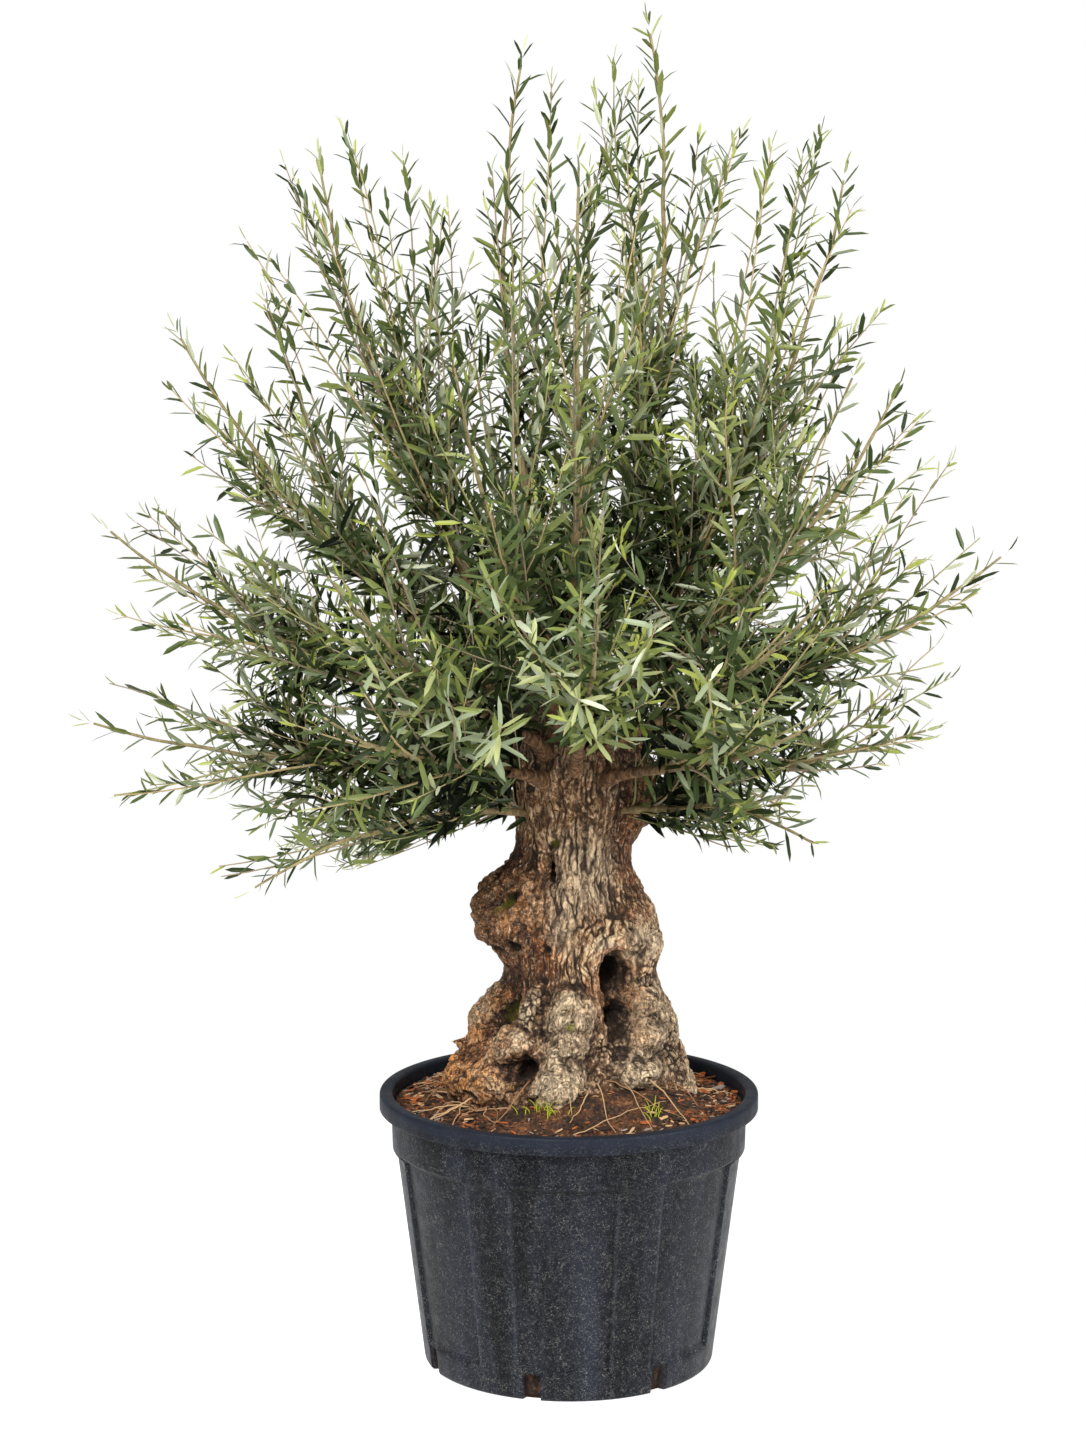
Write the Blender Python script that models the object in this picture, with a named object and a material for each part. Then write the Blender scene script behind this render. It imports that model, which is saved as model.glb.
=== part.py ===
"""Potted olive tree: a gnarled old trunk in a black nursery pot, with a bushy crown of long shoots.

The origin is the middle of the pot's flat underside. Z is up and -Y is the tree's front.
Bearings are in degrees, counted from +X towards +Y, so 270 is the front.
"""

import math

import bmesh
import bpy
import numpy as np
from mathutils import Matrix, Vector
from mathutils.bvhtree import BVHTree

GAP = 0.0003  # clearance between pieces that rest on each other
FLAT_ANGLE = math.radians(0.1)  # faces that meet more flatly than this become one

# Pot: a thin tapered tub with a folded rim, a collar under it, sunk panels and drain slots.
POT_HEIGHT = 0.436
POT_FOOT_RADIUS = 0.230
POT_TAPER = 0.125  # growth of the radius for each metre of height
POT_WALL = 0.0061
POT_FLOOR = 0.0045
RIM_RADIUS = 0.300
RIM_DEPTH = 0.027
RIM_LIP = 0.0045
COLLAR_RADIUS = 0.282
COLLAR_BOTTOM = 0.345
PANEL_DEPTH = 0.0030
PANEL_COUNT = 7
PANEL_SPAN = 39.0
PANEL_TOP = 0.328
PANEL_BOTTOM = 0.050
PANEL_BEARING = 268.5
SLOT_COUNT = 7
SLOT_BEARING = 255.3
SLOT_WIDTH = 0.028
SLOT_HEIGHT = 0.042
SLOT_INNER = 0.2215
POT_SEGMENTS = 56

# Soil: fills the pot and rises a little towards the trunk.
SOIL_CROWN = 0.4297
SOIL_PLATEAU_RADIUS = 0.215
SOIL_EDGE = 0.409

# Trunk: heights are above the soil.
TRUNK_FOOT = SOIL_CROWN + GAP
TRUNK_HEIGHT = 0.630
TRUNK_AXIS = (0.006, 0.0)
TRUNK_RADIUS = 0.084
FLARE = 0.075
FLARE_HEIGHT = 0.13
HEAD_START = 0.545
HEAD_SWELL = 0.012
TRUNK_SEGMENTS = 38
TRUNK_ROWS = 24

# Swellings and hollows of the trunk: bearing, height, depth (below 0 is a hollow), half-width and half-height.
BURLS = {
    "left foot": (186, 0.032, 0.048, 0.070, 0.040),
    "left knee": (192, 0.132, 0.050, 0.060, 0.038),
    "left front leg": (211, 0.058, 0.042, 0.055, 0.046),
    "left hollow": (212, 0.143, -0.044, 0.015, 0.027),
    "left knob": (231, 0.104, 0.036, 0.023, 0.020),
    "left column": (237, 0.158, 0.014, 0.018, 0.030),
    "left cavity": (242, 0.066, -0.052, 0.015, 0.020),
    "left burl": (197, 0.318, 0.066, 0.060, 0.040),
    "left burl eye": (221, 0.328, -0.022, 0.013, 0.013),
    "left burl lobe": (211, 0.285, 0.026, 0.032, 0.026),
    "left burl root": (196, 0.248, 0.030, 0.050, 0.026),
    "middle knob": (268, 0.150, 0.046, 0.034, 0.030),
    "middle lobe": (264, 0.103, 0.034, 0.028, 0.020),
    "middle foot": (259, 0.048, 0.050, 0.036, 0.032),
    "middle rib": (268, 0.215, 0.014, 0.026, 0.046),
    "deep hollow": (309, 0.210, -0.074, 0.018, 0.030),
    "deep hollow foot": (306, 0.138, -0.060, 0.012, 0.036),
    "brow": (303, 0.262, 0.016, 0.032, 0.014),
    "right front knee": (322, 0.166, 0.042, 0.030, 0.023),
    "right front shin": (323, 0.112, 0.040, 0.034, 0.023),
    "right front toe": (315, 0.060, 0.042, 0.030, 0.022),
    "right shoulder": (338, 0.250, 0.048, 0.066, 0.044),
    "right upper shoulder": (352, 0.308, 0.018, 0.050, 0.030),
    "right leg": (2, 0.125, 0.048, 0.050, 0.060),
    "right foot": (4, 0.020, 0.040, 0.060, 0.044),
    "fork": (346, 0.500, 0.036, 0.046, 0.055),
    "fork cleft": (320, 0.500, -0.016, 0.012, 0.060),
    "slit": (247, 0.375, -0.020, 0.008, 0.024),
    "back right foot": (52, 0.030, 0.045, 0.055, 0.045),
    "back cleft": (78, 0.070, -0.055, 0.018, 0.060),
    "back foot": (104, 0.030, 0.050, 0.050, 0.050),
    "back burl": (88, 0.255, 0.040, 0.050, 0.040),
    "back left hollow": (131, 0.120, -0.050, 0.018, 0.045),
    "back left foot": (148, 0.040, 0.048, 0.045, 0.050),
    "back left burl": (140, 0.220, 0.030, 0.040, 0.040),
    "back right burl": (40, 0.330, 0.026, 0.040, 0.036),
}

# Crown: how far the shoots reach from the hub, by elevation, on the left and on the right.
HUB = Vector((0.022, 0.0, 0.985))
REACH_ELEVATION = (-40, -22, -6, 7, 22, 42, 56, 68, 78, 85, 90)
REACH_LEFT = (0.42, 0.56, 0.76, 0.79, 0.81, 0.89, 0.94, 1.01, 0.95, 1.07, 1.11)
REACH_RIGHT = (0.33, 0.38, 0.47, 0.58, 0.72, 0.76, 0.86, 1.00, 0.98, 1.12, 1.115)

# Rings of limbs: elevation of the tips, count, first bearing, bearing step, height of the foot on the trunk and
# its distance from the axis, elevation at the foot, radius at the foot, and share of the way that is bare.
RINGS = {
    "skirt": (-20, 5, 216, -63, 0.450, 0.035, 12, 0.011, 0.0),
    "low": (3, 6, 180, 60, 0.490, 0.045, 40, 0.017, 0.30),
    "front": (14, 1, 271, 0, 0.505, 0.045, 42, 0.014, 0.27),
    "middle": (25, 6, 0, 60, 0.530, 0.045, 42, 0.016, 0.27),
    "upper": (46, 5, 180, 72, 0.566, 0.060, 62, 0.014, 0.24),
    "high": (66, 4, 178, 90, 0.565, 0.040, 74, 0.015, 0.22),
    "top": (85, 2, 10, 180, 0.570, 0.016, 88, 0.014, 0.22),
}
RIGHT_BOUGH = {"foot": 0.400, "off": 0.050, "rise": 58, "radius": 0.034, "bare": 0.42, "reach": 0.25}
FOOT_REACH = 0.16
FRONT_LIFT = 9.0  # low limbs that point to the front rise this many degrees more
BOUGH_SIDES = 6
BOUGH_STEPS = 4
JOIN_RADIUS = 0.0085
STEM_TIP_RADIUS = 0.0024
LIFT = 12.0  # how much a shoot above the horizon turns upwards, and one below it droops, in degrees

# Foliage: each leaf here stands for a small spray.
SEED = 41
LEADER_STEPS = 4
SIDE_SHOOTS = 4
SHOOT_STEPS = 2
SHOOT_SPREAD = 15.0
SHOOT_RADIUS = 0.0040
SHOOT_TIP_RADIUS = 0.0022
LEAF_LENGTH = 0.125
LEAF_WIDTH = 0.031
LEAF_THICKNESS = 0.0040
LEAF_WIDEST = 0.42
LEAF_SINK = 0.0015
END_LEAF_SINK = 0.008
LEAF_ANGLES = (44.0, 38.0)
PAIR_OFFSET = 0.009
SPACE_MARGIN = 0.0012

FINISHES = {
    "pot": ((0.035, 0.036, 0.042), 0.55),
    "soil": ((0.115, 0.062, 0.036), 0.95),
    "bark": ((0.300, 0.215, 0.140), 0.90),
    "foliage": ((0.130, 0.165, 0.085), 0.60),
}


def clear_scene():
    for old in list(bpy.data.objects):
        bpy.data.objects.remove(old, do_unlink=True)


def make_material(name):
    colour, roughness = FINISHES[name]
    made = bpy.data.materials.new(name)
    made.use_nodes = True
    shader = made.node_tree.nodes["Principled BSDF"]
    shader.inputs["Base Color"].default_value = (*colour, 1.0)
    shader.inputs["Roughness"].default_value = roughness
    shader.inputs["Metallic"].default_value = 0.0
    return made


def add_object(name, shape, finish=None, collection=None):
    """Turns a bmesh into a named object, with its faces pointing outwards."""
    bmesh.ops.recalc_face_normals(shape, faces=shape.faces)
    mesh = bpy.data.meshes.new(name)
    shape.to_mesh(mesh)
    shape.free()
    made = bpy.data.objects.new(name, mesh)
    (collection or bpy.context.scene.collection).objects.link(made)
    if finish:
        mesh.materials.append(finish)
    return made


def apply_boolean(target, operation, other=None, collection=None, solver="EXACT"):
    """Adds a Boolean to the target, keeps its result as the target's own mesh, and drops the modifier."""
    cut = target.modifiers.new("join", "BOOLEAN")
    cut.operation = operation
    cut.solver = solver
    if collection:
        cut.operand_type = "COLLECTION"
        cut.collection = collection
    else:
        cut.object = other
    graph = bpy.context.evaluated_depsgraph_get()
    result = bpy.data.meshes.new_from_object(target.evaluated_get(graph))
    target.modifiers.clear()
    target.data = result


def bearing_vector(bearing, elevation):
    """Unit vector at a bearing and an elevation, both in degrees."""
    a, e = math.radians(bearing), math.radians(elevation)
    return Vector((math.cos(a) * math.cos(e), math.sin(a) * math.cos(e), math.sin(e)))


def lathe(profile, segments, radius_of=None):
    """Turns a profile of (radius, height) pairs about Z. Its first and last points lie on the axis."""
    shape = bmesh.new()
    rings = []
    for radius, height in profile[1:-1]:
        ring = []
        for i in range(segments):
            angle = 2 * math.pi * i / segments
            r = radius_of(radius, height, angle) if radius_of else radius
            ring.append(shape.verts.new((r * math.cos(angle), r * math.sin(angle), height)))
        rings.append(ring)
    for low, high in zip(rings, rings[1:]):
        for i in range(segments):
            j = (i + 1) % segments
            shape.faces.new((low[i], low[j], high[j], high[i]))
    shape.faces.new(rings[0])
    shape.faces.new(rings[-1])
    return shape


def sweep(curve, steps, radii, sides, roll=0.0):
    """A closed tapering tube along a curve, with a flat end square to the curve at each end."""
    shape = bmesh.new()
    points = [bezier(*curve, t) for t in steps]
    tangents = [heading(*curve, t) for t in steps]
    side = tangents[0].orthogonal().normalized()
    side.rotate(Matrix.Rotation(roll, 3, tangents[0]))
    rings = []
    for i, (point, tangent, radius) in enumerate(zip(points, tangents, radii)):
        if i:
            side.rotate(tangents[i - 1].rotation_difference(tangent))
        up = tangent.cross(side)
        ring = []
        for k in range(sides):
            angle = 2 * math.pi * k / sides
            ring.append(shape.verts.new(point + (side * math.cos(angle) + up * math.sin(angle)) * float(radius)))
        rings.append(ring)
    for low, high in zip(rings, rings[1:]):
        for k in range(sides):
            j = (k + 1) % sides
            shape.faces.new((low[k], low[j], high[j], high[k]))
    shape.faces.new(rings[0])
    shape.faces.new(rings[-1])
    return shape


def bezier(p0, p1, p2, p3, t):
    t = float(t)
    s = 1 - t
    return p0 * s**3 + p1 * (3 * s * s * t) + p2 * (3 * s * t * t) + p3 * t**3


def heading(p0, p1, p2, p3, t):
    """Unit vector along the curve at t."""
    t = float(t)
    s = 1 - t
    return ((p1 - p0) * (s * s) + (p2 - p1) * (2 * s * t) + (p3 - p2) * (t * t)).normalized()


def pot_profile():
    """Section of the pot from the middle of its underside, up the outside, over the rim and down the inside."""
    step = 0.006
    wall_top = COLLAR_BOTTOM - step
    rim_bottom = POT_HEIGHT - RIM_DEPTH
    under_rim = POT_HEIGHT - 0.010
    outside = [(0, 0), (POT_FOOT_RADIUS - step, 0), (outer_wall(step), step)]
    for height in (PANEL_BOTTOM - 0.015, PANEL_BOTTOM, PANEL_TOP - 0.012, PANEL_TOP):
        outside.append((outer_wall(height), height))
    outside += [
        (outer_wall(wall_top), wall_top),
        (COLLAR_RADIUS - 0.002, COLLAR_BOTTOM),
        (COLLAR_RADIUS, under_rim),
        (RIM_RADIUS - RIM_LIP, under_rim),
        (RIM_RADIUS - RIM_LIP, rim_bottom),
        (RIM_RADIUS, rim_bottom),
        (RIM_RADIUS, POT_HEIGHT - 0.006),
        (RIM_RADIUS - 0.005, POT_HEIGHT),
    ]
    inside = [
        (inner_wall(POT_HEIGHT) + 0.004, POT_HEIGHT),
        (inner_wall(POT_HEIGHT - 0.005), POT_HEIGHT - 0.005),
        (inner_wall(POT_FLOOR), POT_FLOOR),
        (0, POT_FLOOR),
    ]
    return outside + inside


def outer_wall(height):
    return POT_FOOT_RADIUS + POT_TAPER * height


def inner_wall(height):
    return outer_wall(height) - POT_WALL


def panelled(radius, height, angle):
    """Sinks the outer wall inside each panel."""
    on_wall = abs(radius - outer_wall(height)) < 1e-6 and PANEL_BOTTOM <= height < PANEL_TOP
    pitch = 360 / PANEL_COUNT
    off = (math.degrees(angle) - PANEL_BEARING + pitch / 2) % pitch - pitch / 2
    return radius - PANEL_DEPTH if on_wall and abs(off) < PANEL_SPAN / 2 else radius


def build_pot(finish):
    pot = add_object("pot", lathe(pot_profile(), POT_SEGMENTS, panelled), finish)
    cutters = bpy.data.collections.new("drain slots")
    for i in range(SLOT_COUNT):
        bearing = math.radians(SLOT_BEARING + 360 / SLOT_COUNT * i)
        reach = 0.05
        shape = bmesh.new()
        bmesh.ops.create_cube(shape, size=1.0)
        bmesh.ops.scale(shape, vec=(reach, SLOT_WIDTH, 2 * SLOT_HEIGHT), verts=shape.verts)
        bmesh.ops.translate(shape, vec=(SLOT_INNER + reach / 2, 0, 0), verts=shape.verts)
        bmesh.ops.rotate(shape, matrix=Matrix.Rotation(bearing, 3, "Z"), verts=shape.verts)
        add_object(f"slot {i}", shape, collection=cutters)
    apply_boolean(pot, "DIFFERENCE", collection=cutters)
    drop_collection(cutters)
    return pot


def build_soil(finish):
    floor = POT_FLOOR + GAP
    edge = SOIL_EDGE
    profile = [
        (0, floor),
        (inner_wall(floor) - GAP, floor),
        (inner_wall(edge) - GAP, edge),
        (SOIL_PLATEAU_RADIUS, SOIL_CROWN),
        (0, SOIL_CROWN),
    ]
    return add_object("soil", lathe(profile, POT_SEGMENTS), finish)


def drop_collection(collection):
    for helper in list(collection.objects):
        bpy.data.objects.remove(helper, do_unlink=True)
    bpy.data.collections.remove(collection)


def trunk_radius(bearing, height):
    """Distance from the trunk's axis to the bark: a flared column, the burls as smooth bumps, a rounded head."""
    column = TRUNK_RADIUS + FLARE * np.exp(-height / FLARE_HEIGHT)
    column = column + HEAD_SWELL * np.clip((height - 0.40) / 0.12, 0, 1)
    radius = column.copy()
    for middle, level, depth, half_width, half_height in BURLS.values():
        turn = np.radians((bearing - middle + 180) % 360 - 180)
        across = turn * column / half_width
        up = (height - level) / half_height
        radius = radius + depth * np.exp(-0.5 * (across**2 + up**2) * 1.4)
    head = np.clip((height - HEAD_START) / (TRUNK_HEIGHT - HEAD_START), 0, 1)
    return np.maximum(radius, 0.03) * np.sqrt(np.maximum(1 - head**2, 0.04))


def build_trunk(finish):
    shape = bmesh.new()
    bearings = np.arange(TRUNK_SEGMENTS) * 360 / TRUNK_SEGMENTS
    heights = np.linspace(0, 1, TRUNK_ROWS + 1) * TRUNK_HEIGHT
    rings = []
    for height in heights:
        radii = trunk_radius(bearings, np.full(TRUNK_SEGMENTS, height))
        ring = []
        for bearing, radius in zip(np.radians(bearings), radii):
            x = TRUNK_AXIS[0] + radius * math.cos(bearing)
            y = TRUNK_AXIS[1] + radius * math.sin(bearing)
            ring.append(shape.verts.new((x, y, TRUNK_FOOT + height)))
        rings.append(ring)
    for low, high in zip(rings, rings[1:]):
        for i in range(TRUNK_SEGMENTS):
            j = (i + 1) % TRUNK_SEGMENTS
            shape.faces.new((low[i], low[j], high[j], high[i]))
    shape.faces.new(rings[0])
    shape.faces.new(rings[-1])
    return add_object("trunk", shape, finish)


def grown_copy(source, by):
    """A helper like the source whose surface stands a little further out."""
    shape = bmesh.new()
    shape.from_mesh(source.data)
    shape.normal_update()
    for vert in shape.verts:
        vert.co += vert.normal * by
    return add_object(source.name + " grown", shape)


def crown_reach(direction):
    """How far the crown reaches from the hub in a direction."""
    elevation = math.degrees(math.asin(max(-1, min(1, direction.z))))
    flat = math.hypot(direction.x, direction.y)
    right = 0.5 + 0.5 * (direction.x / flat if flat > 1e-6 else 0.0)
    left_reach = np.interp(elevation, REACH_ELEVATION, REACH_LEFT)
    right_reach = np.interp(elevation, REACH_ELEVATION, REACH_RIGHT)
    return float(left_reach * (1 - right) + right_reach * right)


def list_limbs():
    """Every limb with its direction and the four points of its curve, from inside the trunk to its furthest tip."""
    limbs = []
    for ring, (elevation, count, first, step, foot, off, rise, radius, bare) in RINGS.items():
        for i in range(count):
            bearing = first + step * i
            towards_front = max(0.0, -math.sin(math.radians(bearing))) if elevation < 20 else 0.0
            tip_elevation = elevation + FRONT_LIFT * towards_front
            direction = bearing_vector(bearing, tip_elevation)
            reach = crown_reach(direction)
            limb = {"ring": ring, "number": i + 1, "direction": direction}
            limb |= {"foot": foot, "off": off, "rise": rise, "radius": radius, "bare": bare, "reach": FOOT_REACH}
            if (ring, i) == ("low", 3):
                limb |= RIGHT_BOUGH
            start = Vector((*TRUNK_AXIS, TRUNK_FOOT + limb["foot"])) + limb["off"] * bearing_vector(bearing, 0)
            bend = LIFT * max(-1.0, min(1.0, (tip_elevation + 8) / 12))
            limb["curve"] = (
                start,
                start + limb["reach"] * reach * bearing_vector(bearing, limb["rise"]),
                HUB + 0.60 * reach * bearing_vector(bearing, tip_elevation - bend),
                HUB + reach * direction,
            )
            limbs.append(limb)
    return limbs


def limb_radius(limb, t):
    """A limb thins quickly along its bare bough and then slowly to its tip."""
    join = limb["bare"]
    if t < join:
        share = t / join
        return limb["radius"] + (JOIN_RADIUS - limb["radius"]) * share
    share = (t - join) / (1 - join)
    start = JOIN_RADIUS if join else limb["radius"]
    return start + (STEM_TIP_RADIUS - start) * share**0.8


def build_bough(limb, trunk_skin, finish):
    """The bare part of a limb, cut to the trunk's surface at its foot."""
    name = f"bough_{limb['ring']}_{limb['number']}"
    steps = np.linspace(0, limb["bare"], BOUGH_STEPS + 1)
    radii = [limb_radius(limb, t) for t in steps]
    bough = add_object(name, sweep(limb["curve"], steps, radii, BOUGH_SIDES), finish)
    apply_boolean(bough, "DIFFERENCE", other=trunk_skin)
    return bough


def space_planes(index, limbs):
    """Half-way planes between this limb's direction and every other: its foliage stays on the near side of all."""
    mine = limbs[index]["direction"]
    return [(mine - other["direction"]).normalized() for i, other in enumerate(limbs) if i != index]


def in_space(points, planes):
    return all((point - HUB).dot(plane) > SPACE_MARGIN for point in points for plane in planes)


def spread_point(k):
    """The k-th point of an even scatter over a disc of radius 1, as (distance, angle)."""
    return math.sqrt((0.35 + 0.7549 * k) % 1.0), 2 * math.pi * ((0.15 + 0.5698 * k) % 1.0)


def side_shoot(limb, index, k):
    """The curve of the k-th side shoot of a limb: it leaves the leader at a narrow angle and ends on the crown's skin."""
    rng = np.random.default_rng([SEED, index, k])
    spread, turn = spread_point(k)
    axis = limb["direction"]
    side = axis.orthogonal().normalized()
    side.rotate(Matrix.Rotation(turn, 3, axis))
    direction = axis.copy()
    direction.rotate(Matrix.Rotation(math.radians(SHOOT_SPREAD * spread), 3, side))
    tip = HUB + direction * crown_reach(direction) * rng.uniform(0.86, 0.98)
    leave = max(limb["bare"] + 0.06, 0.16) + 0.36 * (1 - spread) + rng.uniform(0, 0.12)
    start = bezier(*limb["curve"], leave)
    along = heading(*limb["curve"], leave)
    length = (tip - start).length
    return start, start + 0.30 * length * along, start.lerp(tip, 0.66) - Vector((0, 0, 0.03 * length)), tip


def leaf_shape(root, along, face):
    """A flat lens of eight faces from a sharp root to a sharp tip."""
    across = along.cross(face).normalized()
    middle = root + along * LEAF_LENGTH * LEAF_WIDEST
    return (
        root,
        root + along * LEAF_LENGTH,
        middle + across * LEAF_WIDTH / 2,
        middle - across * LEAF_WIDTH / 2,
        middle + face * LEAF_THICKNESS / 2,
        middle - face * LEAF_THICKNESS / 2,
    )


def leaf_mesh(corners):
    shape = bmesh.new()
    root, tip, left, right, top, bottom = [shape.verts.new(c) for c in corners]
    for end in (root, tip):
        for edge in (left, right):
            for face in (top, bottom):
                shape.faces.new((end, edge, face))
    return shape


def leaves_of(curve, stations, roll, up_to):
    """Opposite pairs of leaves at the stations along a shoot, and one at its end. up_to is where its wood ends."""
    found = []
    for i, t in enumerate(stations):
        point = bezier(*curve, t)
        along = heading(*curve, t)
        side = along.orthogonal().normalized()
        side.rotate(Matrix.Rotation(roll + i * math.radians(77), 3, along))
        for sign, angle in zip((1, -1), LEAF_ANGLES):
            out = math.radians(angle)
            blade = (along * math.cos(out) + sign * side * math.sin(out)).normalized()
            face = (along * math.sin(out) - sign * side * math.cos(out)).normalized()
            root = point + along * sign * PAIR_OFFSET / 2
            found.append(leaf_shape(root - blade * LEAF_SINK, blade, face))
    end = bezier(*curve, up_to)
    blade = (bezier(*curve, 1) - end).normalized()
    face = blade.orthogonal().normalized()
    found.append(leaf_shape(end - blade * END_LEAF_SINK, blade, face))
    return found


def wood_end(curve):
    """The place on a shoot from which its end leaf reaches the very tip."""
    t = 1.0
    while (bezier(*curve, 1) - bezier(*curve, t)).length < LEAF_LENGTH - END_LEAF_SINK:
        t -= 0.005
    return t


def build_mass(limb, index, limbs, trunk_tree, limb_trees, finish):
    """Stem, side shoots and leaves of one limb, joined into one solid that keeps to its own space."""
    name = f"foliage_{limb['ring']}_{limb['number']}"
    planes = space_planes(index, limbs)
    leader = limb["curve"]
    first = start_of_stem(limb, trunk_tree)
    last = wood_end(leader)
    steps = np.linspace(first, last, LEADER_STEPS + 1)
    stem = sweep(leader, steps, [limb_radius(limb, t) for t in steps], 3)
    mass = add_object(name, stem, finish)
    parts = bpy.data.collections.new(name + " parts")
    span = last - first
    stations = (first + 0.42 * span, first + 0.68 * span, last - 0.05)
    woods = [tree_of(mass)]
    wanted = [(corners, 0) for corners in leaves_of(leader, stations, index * 1.7, last)]
    for k in range(SIDE_SHOOTS):
        curve = side_shoot(limb, index, k)
        end = wood_end(curve)
        steps = np.linspace(0, end, SHOOT_STEPS + 1)
        radii = [SHOOT_RADIUS + (SHOOT_TIP_RADIUS - SHOOT_RADIUS) * t for t in steps]
        shoot = sweep(curve, steps, radii, 3, roll=k)
        if not in_space([vert.co for vert in shoot.verts], planes) or touches(shoot, limb_trees):
            shoot.free()
            continue
        woods.append(tree_of(add_object(f"{name} shoot {k}", shoot, collection=parts)))
        wanted += [(corners, len(woods) - 1) for corners in leaves_of(curve, (0.55 * end,), index + 2.1 * k, end)]
    leaves = []
    for corners, own in wanted:
        leaf = leaf_mesh(corners)
        others = limb_trees + leaves + woods[:own] + woods[own + 1 :]
        if not in_space(corners, planes) or touches(leaf, others):
            leaf.free()
            continue
        leaves.append(tree_of(add_object(f"{name} leaf {len(leaves)}", leaf, collection=parts)))
    apply_boolean(mass, "UNION", collection=parts, solver="MANIFOLD")
    drop_collection(parts)
    keep_largest_body(mass)
    return mass


def keep_largest_body(obj):
    """Drops any scrap the union left loose."""
    shape = bmesh.new()
    shape.from_mesh(obj.data)
    left = set(shape.verts)
    bodies = []
    while left:
        body, edge = set(), [left.pop()]
        while edge:
            vert = edge.pop()
            body.add(vert)
            for link in vert.link_edges:
                other = link.other_vert(vert)
                if other in left:
                    left.discard(other)
                    edge.append(other)
        bodies.append(body)
    bodies.sort(key=len)
    for body in bodies[:-1]:
        bmesh.ops.delete(shape, geom=list(body), context="VERTS")
    bmesh.ops.dissolve_limit(shape, angle_limit=FLAT_ANGLE, verts=shape.verts, edges=shape.edges)
    shape.to_mesh(obj.data)
    shape.free()


def start_of_stem(limb, trunk_tree):
    """Where the stem begins: just past its bough's end, or just outside the trunk where there is no bough."""
    t = limb["bare"]
    curve = limb["curve"]
    if t:
        while (bezier(*curve, t) - bezier(*curve, limb["bare"])).length < GAP:
            t += 0.00005
        return t
    while trunk_tree.find_nearest(bezier(*curve, t))[3] < 1e-5 or inside(bezier(*curve, t), trunk_tree):
        t += 0.001
    return t


def inside(point, tree):
    """True if a ray from the point crosses the closed surface an odd number of times."""
    hits, origin, direction = 0, point.copy(), Vector((0.31, 0.17, 0.93)).normalized()
    while True:
        place, _, _, _ = tree.ray_cast(origin, direction)
        if place is None:
            return hits % 2 == 1
        hits += 1
        origin = place + direction * 1e-5


def touches(shape, trees):
    bmesh.ops.recalc_face_normals(shape, faces=shape.faces)
    own = BVHTree.FromBMesh(shape)
    return any(own.overlap(tree) for tree in trees)


def tree_of(obj):
    shape = bmesh.new()
    shape.from_mesh(obj.data)
    tree = BVHTree.FromBMesh(shape)
    shape.free()
    return tree


def main():
    clear_scene()
    finishes = {name: make_material(name) for name in FINISHES}
    build_pot(finishes["pot"])
    build_soil(finishes["soil"])
    trunk = build_trunk(finishes["bark"])
    skin = grown_copy(trunk, GAP * 1.4)
    limbs = list_limbs()
    boughs = {}
    for index, limb in enumerate(limbs):
        if limb["bare"]:
            boughs[index] = build_bough(limb, skin, finishes["bark"])
    trunk_tree = tree_of(trunk)
    limb_trees = [trunk_tree] + [tree_of(bough) for bough in boughs.values()]
    for index, limb in enumerate(limbs):
        mass = build_mass(limb, index, limbs, trunk_tree, limb_trees, finishes["foliage"])
        if not limb["bare"]:
            apply_boolean(mass, "DIFFERENCE", other=skin)
    bpy.data.objects.remove(skin, do_unlink=True)


main()
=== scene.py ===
import itertools
import math
import bpy
import numpy as np
from mathutils import Matrix, Vector


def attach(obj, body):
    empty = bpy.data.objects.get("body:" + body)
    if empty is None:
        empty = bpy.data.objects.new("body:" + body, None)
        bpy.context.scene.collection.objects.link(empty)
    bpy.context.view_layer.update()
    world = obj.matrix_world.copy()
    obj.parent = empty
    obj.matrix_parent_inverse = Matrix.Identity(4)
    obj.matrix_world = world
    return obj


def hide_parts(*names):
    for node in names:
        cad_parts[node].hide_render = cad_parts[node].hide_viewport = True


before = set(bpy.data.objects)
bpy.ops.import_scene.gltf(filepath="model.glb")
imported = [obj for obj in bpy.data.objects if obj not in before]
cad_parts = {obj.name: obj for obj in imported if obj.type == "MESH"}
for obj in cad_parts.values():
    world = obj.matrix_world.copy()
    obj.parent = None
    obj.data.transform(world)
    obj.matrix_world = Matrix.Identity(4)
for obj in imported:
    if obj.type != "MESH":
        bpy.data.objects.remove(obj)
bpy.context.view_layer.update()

print("frame loaded:", len(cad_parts), "nodes")


studio = {
    "floorColour": (250, 250, 250), "floorRadius": 1.5, "floorGlow": 0.62,
    "worldSeen": 1.0, "worldLight": 0.40,
    # place, what it points at, size, power
    "lights": {
        "keyLight": ((-1.9, -3.9, 4.4), (0, 0, 0.9), 3.4, 340.0),
        "fillLight": ((3.6, -2.6, 1.9), (0, 0, 0.8), 2.5, 150.0),
    },
    "cameraPlace": (-0.041, -5.0, 1.7385), "cameraPitch": 8.17,
    "lens": 80.37, "sensor": 36.0, "clipEnd": 200.0,
}


def hashOf(x, y, z, seed):
    # whole numbers of a lattice point mixed into one number of 32 bits
    n = (x * 73856093) ^ (y * 19349663) ^ (z * 83492791) ^ (seed * 374761393)
    n = (n ^ (n >> 13)) * 1274126177 & 0xFFFFFFFF
    n = (n ^ (n >> 16)) * 668265263 & 0xFFFFFFFF
    return n ^ (n >> 15)


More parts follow.
